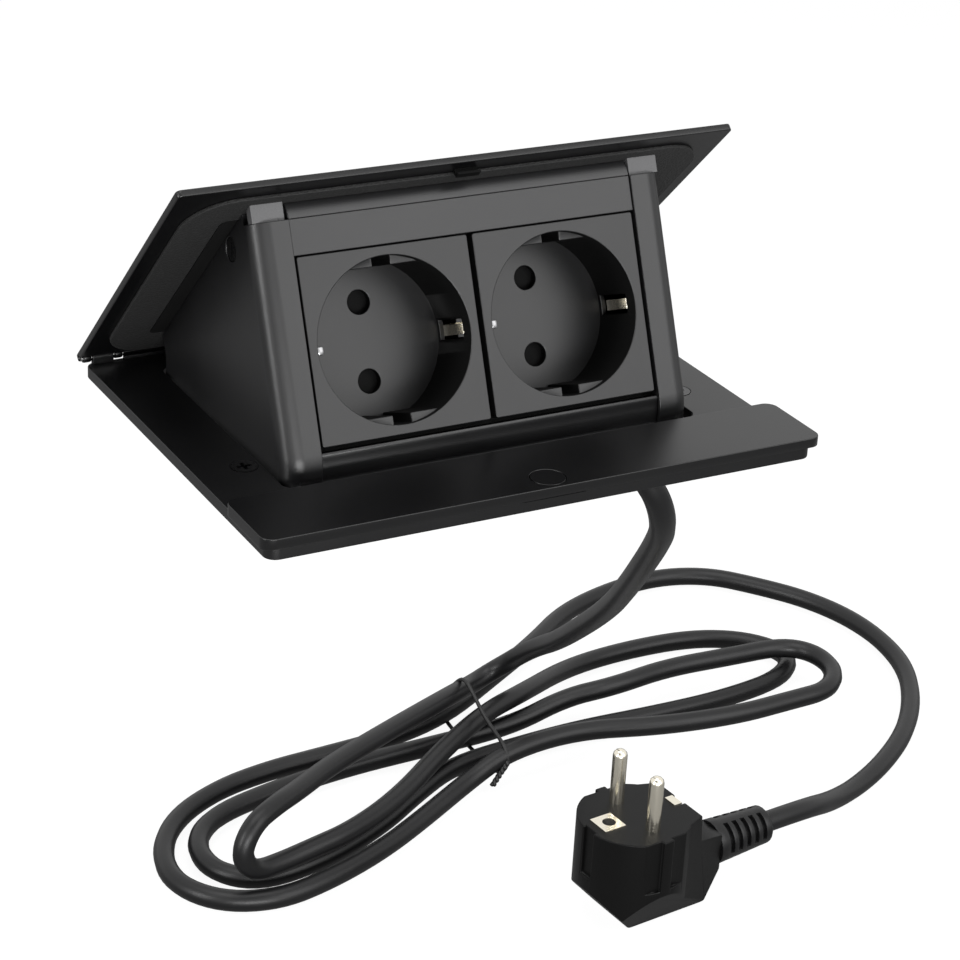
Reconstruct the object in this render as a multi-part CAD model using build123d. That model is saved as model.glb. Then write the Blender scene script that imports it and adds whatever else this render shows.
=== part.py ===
from build123d import *
import math
import os

# Pop up desk socket with two earthed wells, standing open, in millimetres.
# Origin: middle of the flange's underside, on the desk top.
# +X runs to the right along the front bar, +Y to the back, +Z up.

# Flange that lies on the desk, and the fixed bar along its front
flange_side_land = 16.4
flange_front_land = 26.15
flange_thickness = 3.0
flange_corner = 3.0
bar_overhang = 1.5
bar_depth = 22.4
bar_height = 3.0
bar_corner = 3.0
opening_corner = 3.0
locator_half_width = 24.0
locator_thickness = 1.8
locator_depth = 8.0
desk_screw_inset = 3.9
desk_screw_front_gap = 15.2
desk_screw_back_inset = 15.3
desk_screw_head_radius = 3.2
desk_screw_head_height = 1.8
desk_screw_radius = 1.6
desk_screw_tip_radius = 0.5
desk_screw_tip_length = 1.0
desk_screw_neck_radius = 1.2
desk_screw_neck_length = 0.5
desk_screw_length = 11.5
screw_hole_clearance = 0.2
screw_slot_width = 0.9
screw_slot_depth = 1.0
bar_screw_inset = 19.7
bar_screw_radius = 1.5
bar_screw_head_radius = 2.9
bar_screw_head_height = 1.6
bar_screw_length = 5.0

# Hinge line between the flange and the lid
hinge_inset = 0.15
hinge_rise = 1.5
hinge_pin_radius = 0.75
hinge_pin_clearance = 0.05
hinge_barrel_radius = 1.2
hinge_barrel_inset = 4.6
hinge_barrel_length = 5.6
hinge_ear_length = 2.0
hinge_ear_gap = 0.35
hinge_pin_overhang = 0.4
hinge_notch_gap = 0.35
lip_depth = 1.05
lip_height = 0.6
lip_end_gap = 0.45

# Lid, drawn closed and then swung open
open_angle = 45.0
lid_thickness = 1.8
lid_bar_gap = 0.65
lid_corner = 1.2
gasket_inset = 4.5
gasket_width = 10.1
gasket_thickness = 0.9
gasket_corner = 12.0
liner_gap = 0.1

# Socket block: a wedge under the lid, limited by an arc about the hinge
block_toe_cut = 1.9
block_top_setback = 2.0
block_side_gap = 0.8
block_front_gap = 0.6
opening_back_inset = 9.3
rear_gap = 1.0
rear_wall_thickness = 2.0
bottom_angle = 4.0
bottom_thickness = 2.0
bottom_play = 0.2
wall_thickness = 2.2
skirt_angle = 22.0
skirt_reach = 42.0
column_width = 9.1
column_depth = 8.0
column_proud = 0.6
column_edge_radius = 4.8
column_skin = 1.8
cap_width = 8.0
cap_depth = 2.4
cap_recess = 0.8

# Sloping socket face
face_lean = 22.45
face_drop = 0.5
module = 45.0
module_gap = 1.0
module_pitch_gap = 0.4
sill_height = 11.805
head_height = 13.805
strip_height = 8.5
cover_thickness = 3.0
cover_corner = 0.6
frame_thickness = 2.2
strip_play = 0.1
band_thickness = 2.0
band_setback = 3.0
band_rise = 0.25
sill_depth = 3.0
sill_lip = 0.8
sill_step = 0.6
sill_set_back = 2.2
lug_thickness = 1.6
lug_height = 9.0

# Earthed well of one socket
well_margin = 2.25
well_depth = 17.5
well_wall = 1.35
well_floor = 2.0
pin_pitch = 19.0
pin_hole_radius = 2.9
rib_depth = 2.35
rib_drop = 2.2
rib_slot_width = 4.6
clip_slot_half = 2.4
clip_half_height = 2.0
clip_thickness = 0.6
clip_bulge = 1.85
clip_top = 4.4
clip_leg = 22.0
body_tail = 13.5
body_chamfer = 5.3
body_chamfer_height = 11.0
body_trim = 0.4
shutter_thickness = 1.7
shutter_play = 0.4
shutter_travel = 5.8
shutter_hole_radius = 2.7
shutter_margin = 0.7
shutter_lap = 0.5
contact_outer_radius = 3.6
contact_bore_radius = 2.45
contact_play = 0.1
contact_length = 9.0
contact_slit = 0.9

# Screws of the block
side_screw_radius = 1.5
side_screw_setback = 18.0
side_screw_angle = 41.2
side_screw_head_radius = 2.7
side_screw_head_height = 1.5
side_boss_radius = 4.6
cover_screw_radius = 1.3
cover_screw_head_radius = 2.6
cover_screw_head_height = 1.4
cover_screw_x = 20.0
cover_screw_length = 5.0
cover_screw_inset = 9.0

# Stop tabs that meet the flange's underside when the block is open
stop_inset = 22.5
stop_half_width = 4.0
stop_reach = 3.0
stop_gap = 0.35
stop_thickness = 1.5
stop_rebate_margin = 1.6
stop_rebate_depth = 0.4

# Latch: hook on the lid, tongue on a sprung slide, button with a wedge
button_radius = 4.0
button_inset = 5.25
button_clearance = 0.3
button_disc = 0.7
button_travel = 1.2
slide_travel = 1.5
slide_lift = 0.3
slide_thickness = 0.55
slide_half_width = 7.0
slide_front_margin = 0.9
tongue_half_width = 4.0
tongue_reach = 3.55
pocket_height = 1.6
pocket_side_gap = 0.6
pocket_front_wall = 1.0
wedge_half_width = 1.6
wedge_play = 0.15
wedge_room_margin = 0.6
wedge_setback = 0.3
slot_front_setback = 1.7
slot_rear_setback = 2.0
hook_half_width = 3.0
hook_stem = 0.6
hook_gap = 0.3
hook_foot_length = 1.8
hook_foot_height = 0.6
hook_foot_top = 0.2
groove_depth = 1.4
groove_margin = 1.0
spring_radius = 1.12
spring_wire = 0.18
spring_turns = 5
spring_wire_sides = 4
spring_length = 8.4
spring_setback = 5.4
spring_seat = 0.2
spring_groove_half_width = 1.6
spring_groove_depth = 1.6

# Opening spring under the rear of the block
coil_radius = 3.9
coil_wire = 0.6
coil_turns = 4
coil_wire_sides = 5
coil_pitch = 2.0
coil_gap = 1.17
coil_angle = -30.0
arbor_radius = 2.4
arbor_half_length = 12.0
arbor_lug = 2.0
coil_leg = 9.0
coil_leg_margin = 1.2
coil_leg_room = 3.0
coil_leg_rebate = 0.4

# Cord, gland and plug
cord_radius = 3.5
gland_inset = 1.8
gland_setback = 8.2
gland_radius = 5.2
gland_neck_radius = 4.3
gland_length = 7.0
gland_taper = 0.9
gland_rings = 5
cord_bend_share = 0.45
cord_sides = 8
cord_exit_run = 20.0
cord_plug_run = 19.0
tie_thickness = 1.0
tie_width = 1.8
tie_gap = 0.3
tie_x = 121.0
tie_y0 = 156.5
tie_y1 = 213.0
tie_top = -200.8
tie_corner = 6.0
plug_radius = 18.5
plug_face_z = -190.0
plug_height = 36.0
plug_x = 119.0
plug_y = 76.5
plug_turn = 6.0
plug_rounding = 3.0
plug_back_height = 22.0
plug_foot_back = 6.0
plug_foot_run = 5.5
plug_shoulder = 10.0
plug_flare = 1.0
plug_neck_run = 14.0
plug_neck_radius = 6.5
plug_pin_radius = 2.4
plug_pin_length = 19.0
plug_pin_edge = 0.9
plug_flat_inset = 1.6
plug_side_height = 20.0
plug_keel_half_width = 9.0
plug_flat_height = 18.0
plug_ridge_half_width = 2.0
relief_drop = 21.0
relief_length = 23.0
relief_start_radius = 6.3
relief_end_radius = 4.7
relief_rings = 6
relief_groove = 0.9
earth_strip_half_width = 2.4
earth_strip_thickness = 1.1
earth_strip_length = 17.0
earth_groove_gap = 0.15

# The cord's route, from the gland by way of the hank to the plug
floor_z = -222.5
drop_route = [
    (54.5, -12.0, -41.5), (64.0, 1.5, -52.5), (79.0, 28.0, -74.0), (105.0, 78.0, -114.5), (134.0, 149.0, -166.0), (141.75, 174.0, -184.25),
]
hank_route = [
    (141.75, 174.0, -184.25), (149.5, 199.0, -202.5), (134.0, 203.0, -206.0), (110.0, 186.0, -206.0), (57.5, 144.0, -202.5),
    (24.0, 123.0, -197.5), (1.5, 112.0, -196.5), (-7.5, 127.0, -205.5), (5.0, 139.0, -214.0), (28.0, 131.5, -214.5),
    (49.0, 136.0, -214.5), (73.0, 149.0, -214.5), (98.0, 164.0, -214.5), (120.5, 177.0, -214.0), (144.0, 193.5, -214.5),
    (180.0, 221.0, floor_z), (209.0, 226.0, floor_z), (238.0, 224.0, floor_z), (256.0, 214.0, floor_z), (260.0, 196.0, floor_z),
    (247.0, 181.0, floor_z), (219.0, 173.5, floor_z), (189.0, 174.0, floor_z), (158.0, 176.0, floor_z), (130.0, 174.5, floor_z),
    (105.0, 172.0, floor_z), (86.0, 161.5, floor_z), (67.0, 149.0, floor_z), (42.0, 138.0, floor_z), (16.0, 134.0, floor_z),
    (3.5, 146.0, floor_z), (4.5, 163.5, floor_z), (17.0, 176.0, floor_z), (42.0, 182.5, floor_z), (72.0, 186.5, floor_z),
    (104.0, 187.0, floor_z), (138.0, 188.0, floor_z), (161.5, 190.5, -217.5), (179.0, 186.0, -214.5), (204.0, 190.0, -214.5),
    (231.0, 188.0, -214.5), (256.5, 187.0, -214.5), (267.0, 176.0, -214.5), (267.0, 161.5, -214.5), (256.5, 151.0, -214.5),
    (234.0, 151.5, -214.5), (210.0, 150.5, -214.5), (180.0, 155.0, -214.5), (151.0, 164.5, -214.5), (122.0, 163.0, -215.5),
    (104.0, 160.0, floor_z), (82.0, 147.0, floor_z), (60.0, 135.0, floor_z), (37.0, 126.5, floor_z), (17.0, 122.5, floor_z),
    (-1.0, 129.0, floor_z), (-10.5, 145.0, floor_z), (-7.0, 164.0, floor_z), (5.0, 180.0, floor_z), (24.0, 190.5, floor_z),
    (45.0, 195.0, floor_z), (67.0, 196.0, floor_z), (93.0, 197.5, floor_z), (119.0, 204.0, floor_z), (147.0, 221.0, floor_z),
]
tail_route = [
    (147.0, 221.0, floor_z), (175.0, 238.0, floor_z), (199.0, 256.0, floor_z), (225.0, 264.5, floor_z), (249.0, 267.0, floor_z),
    (269.0, 260.0, floor_z), (282.0, 245.0, floor_z), (294.0, 228.0, floor_z), (301.0, 208.0, floor_z), (302.0, 187.0, floor_z),
    (297.0, 165.0, floor_z), (284.0, 144.0, floor_z), (267.0, 126.0, floor_z), (247.0, 112.0, floor_z), (229.0, 103.0, floor_z),
    (212.0, 95.0, -219.5),
]

# Shared overrun of every cutting body
over = 1.0

# Worked out from the sizes above, from the sockets outwards
lean = math.radians(face_lean)
foot_turn = math.radians(bottom_angle + face_lean)
lid_turn = math.radians(open_angle - face_lean)
window_height = module + module_pitch_gap
face_distance = (window_height + sill_height + head_height) / (math.tan(foot_turn) + math.tan(lid_turn))
face_window_top = face_distance * math.tan(lid_turn) - head_height
face_bottom = face_window_top - window_height
column_top = face_window_top + strip_height
foot_reach = face_distance / math.cos(foot_turn)
block_reach = foot_reach - block_toe_cut
column_inner = module + module_pitch_gap
block_half_width = column_inner + column_width
opening_half_width = block_half_width + block_side_gap
flange_half_width = opening_half_width + flange_side_land
flange_half_depth = (hinge_inset + block_reach + block_front_gap + flange_front_land) / 2
flange_back = flange_half_depth
flange_front = -flange_half_depth
bar_front = flange_front - bar_overhang
bar_back = bar_front + bar_depth
bar_half_width = flange_half_width + bar_overhang
bar_top = flange_thickness + bar_height
hinge_y = flange_back - hinge_inset
hinge_z = flange_thickness + hinge_rise
lid_front = bar_back + lid_bar_gap
lid_back = flange_back + bar_overhang
lid_top = bar_top
lid_bottom = lid_top - lid_thickness
gasket_bottom = lid_bottom - gasket_thickness
opening_front = hinge_y - block_reach - block_front_gap
opening_back = hinge_y - opening_back_inset
rear_radius = math.hypot(opening_back_inset, hinge_z) + rear_gap
face_y = hinge_y - face_distance * math.cos(lean) - face_drop * math.sin(lean)
face_z = hinge_z + face_distance * math.sin(lean) - face_drop * math.cos(lean)
face_plane = Plane(origin=(0, face_y, face_z), x_dir=(1, 0, 0), z_dir=(0, -math.cos(lean), math.sin(lean)))
cheek_inner = block_half_width - wall_thickness
cover_size = module - module_gap
cover_x = (module + module_pitch_gap) / 2
cover_v = (face_bottom + face_window_top) / 2 + module_pitch_gap
well_radius = cover_size / 2 - well_margin
rib_chord = well_radius - rib_depth
well_outer = well_radius + well_wall
body_half_height = well_outer - body_trim
shutter_half_height = pin_pitch / 2 + pin_hole_radius + shutter_lap
floor_back = -well_depth - well_floor
pocket_back = floor_back - shutter_thickness - 2 * shutter_play
body_depth = well_depth + well_floor + body_tail
body_chamfer_depth = body_depth - body_chamfer_height
slide_bottom = flange_thickness + slide_lift
slide_top = slide_bottom + slide_thickness
pocket_top = flange_thickness + pocket_height
desk_screw_x = opening_half_width + desk_screw_inset
desk_screw_front_y = opening_front + desk_screw_front_gap
desk_screw_back_x = opening_half_width - desk_screw_back_inset
desk_screw_back_y = (opening_back + flange_back) / 2
bar_screw_x = flange_half_width - bar_screw_inset
hinge_barrel_x = flange_half_width - hinge_barrel_inset
side_screw_reach = block_reach - side_screw_setback
stop_x = block_half_width - stop_inset
gland_x = column_inner + gland_inset
gland_reach = block_reach - gland_setback
button_y = bar_front + button_inset
tongue_tip_y = bar_back + tongue_reach
wedge_rear_y = button_y + wedge_setback
slot_front_y = button_y - slot_front_setback
slot_rear_y = button_y + slot_rear_setback
spring_front_y = button_y + spring_setback
coil_reach = rear_radius + rear_wall_thickness + coil_radius + coil_wire + coil_gap
plug_foot_front = plug_radius + plug_foot_run
plug_neck_end = plug_radius + plug_neck_run
plug_flat = plug_radius - plug_flat_inset


def block(x0, x1, y0, y1, z0, z1):
    """Box between two opposite corners."""
    middle = Pos((x0 + x1) / 2, (y0 + y1) / 2, (z0 + z1) / 2)
    return middle * Box(x1 - x0, y1 - y0, z1 - z0)


def upright(radius, x, y, z0, z1):
    """Cylinder that stands on z0."""
    return Pos(x, y, (z0 + z1) / 2) * Cylinder(radius, z1 - z0)


def along_x(radius, x0, x1, y, z):
    """Cylinder from x0 to x1."""
    return Pos((x0 + x1) / 2, y, z) * Rot(0, 90, 0) * Cylinder(radius, x1 - x0)


def rounded_plate(half_width, y0, y1, z0, z1, radius):
    """Flat plate with rounded corners."""
    outline = Pos(0, (y0 + y1) / 2) * RectangleRounded(2 * half_width, y1 - y0, radius)
    return extrude(Pos(0, 0, z0) * outline, amount=z1 - z0)


def side_prism(points, x0, x1):
    """Prism along X from an outline of (y, z) points."""
    outline = make_face(Polyline(*points, close=True))
    return extrude(Plane.YZ.offset(x0) * outline, amount=x1 - x0)


def on_face(part):
    """Place a solid drawn as across, up the face, out of the face."""
    return face_plane * part


def face_point(v, w):
    """(y, z) of a place v up the face and w out of it."""
    y = face_y + v * math.sin(lean) - w * math.cos(lean)
    z = face_z + v * math.cos(lean) + w * math.sin(lean)
    return (y, z)


def polar(radius, degrees):
    """(y, z) at a radius from the hinge, at an angle up from the front."""
    turn = math.radians(degrees)
    return (hinge_y - radius * math.cos(turn), hinge_z + radius * math.sin(turn))


def swung(part, degrees):
    """Turn a solid about the hinge: positive lowers its front."""
    return Pos(0, hinge_y, hinge_z) * Rot(degrees, 0, 0) * Pos(0, -hinge_y, -hinge_z) * part


def opened(part):
    """Swing a solid drawn on the closed lid to the open lid."""
    return swung(part, -open_angle)


def lid_point(reach, z):
    """(y, z) on the open lid of a place drawn at that reach and closed height."""
    turn = math.radians(open_angle)
    lift = z - hinge_z
    y = hinge_y - reach * math.cos(turn) + lift * math.sin(turn)
    return (y, hinge_z + reach * math.sin(turn) + lift * math.cos(turn))


def both_sides(part):
    """A solid and its mirror image."""
    return part + mirror(part, about=Plane.YZ)


def countersunk(radius, head_radius, head_height, x, y, top, length):
    """Countersunk screw with its flat head at top."""
    cone = Cone(radius, head_radius, head_height)
    head = Pos(x, y, top - head_height / 2) * cone
    return head + upright(radius, x, y, top - length, top - head_height)


def latch_groove():
    """Room under the bar and in the flange for the hook, the spring and the wedge."""
    hook_reach = tongue_tip_y - hook_foot_length
    half = hook_half_width + groove_margin
    hook_room = block(-half, half, hook_reach, opening_front + over, flange_thickness - groove_depth, flange_thickness + over)
    spring_room = block(-spring_groove_half_width, spring_groove_half_width, spring_front_y - spring_seat,
                        spring_front_y + spring_length + slide_travel, flange_thickness - spring_groove_depth, flange_thickness + over)
    wedge = wedge_half_width + wedge_play * 2
    wedge_room = block(-wedge, wedge, slot_front_y - wedge_room_margin, wedge_rear_y + wedge_play * 2,
                       -over, flange_thickness + over)
    return hook_room + spring_room + wedge_room


def desk_screw_places():
    """(x, y) of the desk screws: two beside the block and two behind it."""
    front = [(-desk_screw_x, desk_screw_front_y), (desk_screw_x, desk_screw_front_y)]
    return front + [(-desk_screw_back_x, desk_screw_back_y), (desk_screw_back_x, desk_screw_back_y)]


def base_frame():
    """Flange with its opening, locating ribs, screw holes and hinge barrels."""
    plate = rounded_plate(flange_half_width, flange_front, flange_back, 0, flange_thickness, flange_corner)
    plate -= rounded_plate(opening_half_width, opening_front, opening_back, -over, flange_thickness + over, opening_corner)
    rib = block(-locator_half_width, locator_half_width, opening_front - locator_thickness, opening_front, -locator_depth, 0)
    plate += rib
    for x, y in desk_screw_places():
        plate -= countersunk(desk_screw_radius + screw_hole_clearance, desk_screw_head_radius + screw_hole_clearance,
                             desk_screw_head_height, x, y, flange_thickness, flange_thickness + over)
    for x in (-bar_screw_x, bar_screw_x):
        hole = countersunk(bar_screw_radius + screw_hole_clearance, bar_screw_head_radius + screw_hole_clearance,
                           bar_screw_head_height, x, 0, 0, flange_thickness + over)
        plate -= Pos(0, (bar_front + bar_back) / 2, 0) * Rot(180, 0, 0) * hole
    plate -= latch_groove()
    rebate_half = stop_x + stop_half_width + stop_rebate_margin
    rebate_front = hinge_y - block_reach - stop_reach - stop_rebate_margin
    for side in (-1, 1):
        near = stop_x - stop_half_width - stop_rebate_margin
        rebate = block(near, rebate_half, rebate_front, opening_front + over, -over, stop_rebate_depth)
        plate -= rebate if side > 0 else mirror(rebate, about=Plane.YZ)
    leg_half = coil_turns * coil_pitch / 2 + coil_wire + coil_leg_margin
    plate -= block(-leg_half, leg_half, opening_back - over, opening_back + coil_leg_room, -over, coil_leg_rebate)
    barrel = along_x(hinge_barrel_radius, hinge_barrel_x - hinge_barrel_length / 2, hinge_barrel_x + hinge_barrel_length / 2, hinge_y, hinge_z)
    foot = block(hinge_barrel_x - hinge_barrel_length / 2, hinge_barrel_x + hinge_barrel_length / 2,
                 hinge_y - hinge_barrel_radius, flange_back, flange_thickness - over, hinge_z)
    barrels = both_sides(barrel + foot)
    bore = along_x(hinge_pin_radius, -bar_half_width, bar_half_width, hinge_y, hinge_z)
    lip_half = hinge_barrel_x - hinge_barrel_length / 2 - hinge_ear_gap - hinge_ear_length - lip_end_gap
    lip = block(-lip_half, lip_half, flange_back - lip_depth, flange_back, flange_thickness - over, flange_thickness + lip_height)
    return plate + lip + (barrels - bore)


def front_bar():
    """Fixed bar with the button's hole and a pocket for the latch slide."""
    bar = rounded_plate(bar_half_width, bar_front, bar_back, flange_thickness, bar_top, bar_corner)
    half = slide_half_width + pocket_side_gap
    bar -= block(-half, half, bar_front + pocket_front_wall, bar_back + over, flange_thickness - over, pocket_top)
    bar -= upright(button_radius + button_clearance, 0, button_y, flange_thickness, bar_top + over)
    for x in (-bar_screw_x, bar_screw_x):
        bar -= upright(bar_screw_radius, x, (bar_front + bar_back) / 2, flange_thickness - over, bar_screw_length)
    return bar


def desk_screws():
    """Four countersunk screws with crossed slots."""
    screws = Part()
    neck_end = -desk_screw_neck_length
    thread_end = flange_thickness - desk_screw_length + desk_screw_tip_length
    for x, y in desk_screw_places():
        screw = countersunk(desk_screw_neck_radius, desk_screw_head_radius, desk_screw_head_height, x, y, flange_thickness,
                            flange_thickness - neck_end)
        screw += upright(desk_screw_radius, x, y, thread_end, neck_end)
        tip = Cone(desk_screw_tip_radius, desk_screw_radius, desk_screw_tip_length)
        tip = Pos(x, y, thread_end - desk_screw_tip_length / 2) * tip
        slot = block(x - screw_slot_width * 2, x + screw_slot_width * 2, y - screw_slot_width / 2, y + screw_slot_width / 2,
                     flange_thickness - screw_slot_depth, flange_thickness + over)
        cross = Pos(x, y, 0) * Rot(0, 0, 90) * Pos(-x, -y, 0) * slot
        screws += screw + tip - slot - cross
    return screws


def bar_screws():
    """Two countersunk screws that hold the bar from below."""
    screws = Part()
    for x in (-bar_screw_x, bar_screw_x):
        screw = countersunk(bar_screw_radius, bar_screw_head_radius, bar_screw_head_height, x, 0, 0, bar_screw_length)
        screws += Pos(0, (bar_front + bar_back) / 2, 0) * Rot(180, 0, 0) * screw
    return screws


def pin_reach():
    """Half length of a hinge pin, from the middle of its barrel."""
    return hinge_barrel_length / 2 + hinge_ear_gap + hinge_ear_length + hinge_pin_overhang


def hinge_pins():
    """Two short pins, one at each rear corner."""
    pin = along_x(hinge_pin_radius, hinge_barrel_x - pin_reach(), hinge_barrel_x + pin_reach(), hinge_y, hinge_z)
    return both_sides(pin)


def lid_plate():
    """Flat lid with ears round the hinge pins."""
    plate = rounded_plate(bar_half_width, lid_front, lid_back, lid_bottom, lid_top, lid_corner)
    ear_start = hinge_barrel_length / 2 + hinge_ear_gap
    inner = hinge_barrel_x - ear_start - hinge_ear_length
    outer = hinge_barrel_x + ear_start + hinge_ear_length
    ears = along_x(hinge_barrel_radius, inner, outer, hinge_y, hinge_z)
    notch = block(hinge_barrel_x - ear_start, hinge_barrel_x + ear_start,
                  hinge_y - hinge_barrel_radius - hinge_notch_gap, lid_back + over, hinge_z - hinge_rise, lid_top + over)
    plate += both_sides(ears)
    plate -= both_sides(notch)
    plate -= along_x(hinge_pin_radius + hinge_pin_clearance, -bar_half_width - over, bar_half_width + over, hinge_y, hinge_z)
    return opened(plate)


def gasket_outline(grow, z0, z1):
    """Plate with the outline of the gasket, grown outwards."""
    half = bar_half_width - gasket_inset + grow
    return rounded_plate(half, lid_front + gasket_inset - grow, lid_back - gasket_inset + grow, z0, z1, gasket_corner + grow)


def lid_gasket():
    """Foam ring round the lid's underside."""
    ring = gasket_outline(0, gasket_bottom, lid_bottom)
    ring -= gasket_outline(-gasket_width, gasket_bottom - over, lid_bottom + over)
    return opened(ring)


def lid_liner():
    """Thin plate inside the foam ring, over the block."""
    return opened(gasket_outline(-gasket_width - liner_gap, gasket_bottom, lid_bottom))


def lid_striker():
    """Hook under the lid's front edge that the latch tongue holds."""
    stem_front = tongue_tip_y + hook_gap
    foot_top = flange_thickness - hook_foot_top
    stem = block(-hook_half_width, hook_half_width, stem_front, stem_front + hook_stem, foot_top - hook_foot_height, lid_bottom)
    foot = block(-hook_half_width, hook_half_width, stem_front + hook_stem - hook_foot_length, stem_front + hook_stem,
                 foot_top - hook_foot_height, foot_top)
    return opened(stem + foot)


def block_wedge(x0, x1, reach, proud):
    """The block's whole side shape, between the rear arc and the front arc."""
    points = [
        polar(hinge_barrel_radius, -bottom_angle),
        polar(foot_reach + proud / math.cos(foot_turn), -bottom_angle),
        face_point(column_top, proud),
        lid_point(block_reach - block_top_setback, gasket_bottom),
        lid_point(hinge_barrel_radius, gasket_bottom),
    ]
    wedge = side_prism(points, x0, x1)
    wedge &= along_x(reach, x0, x1, hinge_y, hinge_z)
    return wedge - along_x(rear_radius, x0 - over, x1 + over, hinge_y, hinge_z)


def side_screw_place():
    """(y, z) of the side screw."""
    return polar(side_screw_reach, side_screw_angle)


def cheek_right():
    """Side wall with its rounded front column and the boss of the side screw."""
    wall = block_wedge(cheek_inner, block_half_width, block_reach, 0)
    wall -= on_face(block(column_inner, block_half_width + over, -block_reach, block_reach, -column_edge_radius, over * 2))
    skirt = side_prism([polar(rear_radius - over, -bottom_angle), polar(skirt_reach, -bottom_angle), polar(rear_radius, -skirt_angle),
                        polar(rear_radius - over, -skirt_angle)], cheek_inner, block_half_width)
    wall += skirt - along_x(rear_radius, cheek_inner - over, block_half_width + over, hinge_y, hinge_z)
    outline = Pos((column_inner + block_half_width) / 2, (column_depth - column_proud) / 2) * Rectangle(column_width, column_depth + column_proud)
    corner = outline.vertices().sort_by(Axis.X)[-2:].sort_by(Axis.Y)[0]
    outline = fillet(corner, column_edge_radius)
    outline -= Pos((column_inner + column_skin + cheek_inner) / 2, column_depth / 2 + column_skin) * Rectangle(
        cheek_inner - column_inner - column_skin, column_depth)
    foot_y, foot_z = face_point(-block_reach / 2, 0)
    section = Plane(origin=(0, foot_y, foot_z), x_dir=(1, 0, 0), z_dir=(0, math.sin(lean), math.cos(lean)))
    column = extrude(section * outline, amount=block_reach / 2 + column_top)
    limit = block_wedge(column_inner - over, block_half_width + over, block_reach + block_front_gap / 2, column_proud)
    column &= limit
    column -= bottom_slab(bottom_play)
    screw_y, screw_z = side_screw_place()
    boss = along_x(side_boss_radius, lug_outer(), cheek_inner + over, screw_y, screw_z)
    boss &= block_wedge(column_inner - over, block_half_width, block_reach, 0)
    part = wall + column + boss
    part -= along_x(side_screw_radius, column_inner - over, block_half_width, screw_y, screw_z)
    part -= along_x(side_screw_head_radius + screw_hole_clearance, block_half_width - side_screw_head_height,
                    block_half_width + over, screw_y, screw_z)
    return part


def lug_outer():
    """Outer side of the support frame's lugs, where the cheek's boss seats."""
    return column_inner


def bottom_slab(grow):
    """The bottom cover's plate, grown for the pieces that stand on it."""
    slab = block(-cheek_inner + bottom_play - grow, cheek_inner - bottom_play + grow,
                 hinge_y - block_reach + sill_depth + bottom_play - grow,
                 hinge_y - rear_radius - rear_wall_thickness - bottom_play, hinge_z, hinge_z + bottom_thickness)
    return swung(slab, bottom_angle)


def bottom_cover():
    """Plate under the block, with the gland's hole and two stop tabs."""
    cover = bottom_slab(0)
    cover -= swung(upright(gland_neck_radius, gland_x, hinge_y - gland_reach, hinge_z - over, hinge_z + bottom_thickness + over), bottom_angle)
    for x, reach in cover_screw_places():
        hole = upright(cover_screw_radius, x, hinge_y - reach, hinge_z - over, hinge_z + bottom_thickness + over)
        cover -= swung(hole, bottom_angle)
    front = hinge_y - block_reach - stop_reach
    top = -stop_gap
    low = polar(block_reach, -bottom_angle)[1] - stop_thickness
    tab = block(stop_x - stop_half_width, stop_x + stop_half_width, front, opening_front + stop_gap, low, top)
    arm = swung(block(stop_x - stop_half_width, stop_x + stop_half_width, hinge_y - block_reach - stop_gap * 2,
                      hinge_y - block_reach + sill_depth * 3, hinge_z - stop_thickness, hinge_z), bottom_angle)
    root = swung(block(stop_x - stop_half_width, stop_x + stop_half_width, hinge_y - block_reach + sill_depth * 2,
                       hinge_y - block_reach + sill_depth * 3, hinge_z - stop_thickness, hinge_z + stop_thickness), bottom_angle)
    return cover + both_sides(tab + arm + root)


def cover_screw_places():
    """(x, distance from the hinge) of the bottom cover's screws."""
    near = rear_radius + rear_wall_thickness + cover_screw_inset
    far = block_reach - sill_depth - cover_screw_inset
    return [(-cover_screw_x, near), (cover_screw_x, near), (-cover_screw_x, far), (cover_screw_x, far)]


def cover_screws():
    """Pan-head screws under the bottom cover."""
    screws = Part()
    for x, reach in cover_screw_places():
        y = hinge_y - reach
        head = upright(cover_screw_head_radius, x, y, hinge_z - cover_screw_head_height, hinge_z)
        head += upright(cover_screw_radius, x, y, hinge_z, hinge_z + cover_screw_length)
        head -= block(x - screw_slot_width * 2, x + screw_slot_width * 2, y - screw_slot_width / 2, y + screw_slot_width / 2,
                      hinge_z - cover_screw_head_height - over, hinge_z - cover_screw_head_height / 2)
        screws += swung(head, bottom_angle)
    return screws


def rear_wall():
    """Curved wall that turns clear of the opening's rear edge, with the spring's lugs."""
    half = cheek_inner - bottom_play
    wall = block_wedge(-half, half, rear_radius + rear_wall_thickness, 0)
    centre_y, centre_z = polar(coil_reach, coil_angle)
    lug_x = arbor_half_length
    root = polar(rear_radius + rear_wall_thickness, bottom_angle)
    lug = along_x(arbor_radius + rear_wall_thickness, lug_x, lug_x + arbor_lug, centre_y, centre_z)
    web = side_prism([(centre_y - arbor_radius, centre_z), (centre_y + arbor_radius, centre_z),
                      polar(rear_radius + rear_wall_thickness / 2, -bottom_angle), root,
                      polar(coil_reach, -bottom_angle)], lug_x, lug_x + arbor_lug)
    lugs = both_sides(lug + web)
    lugs -= along_x(rear_radius, -block_half_width, block_half_width, hinge_y, hinge_z)
    lugs -= bottom_slab(bottom_play)
    lugs -= along_x(arbor_radius, -block_half_width, block_half_width, centre_y, centre_z)
    return wall + lugs


def spring_arbor():
    """Pin that carries the opening spring."""
    centre_y, centre_z = polar(coil_reach, coil_angle)
    half = arbor_half_length + arbor_lug
    return along_x(arbor_radius, -half, half, centre_y, centre_z)


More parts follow.
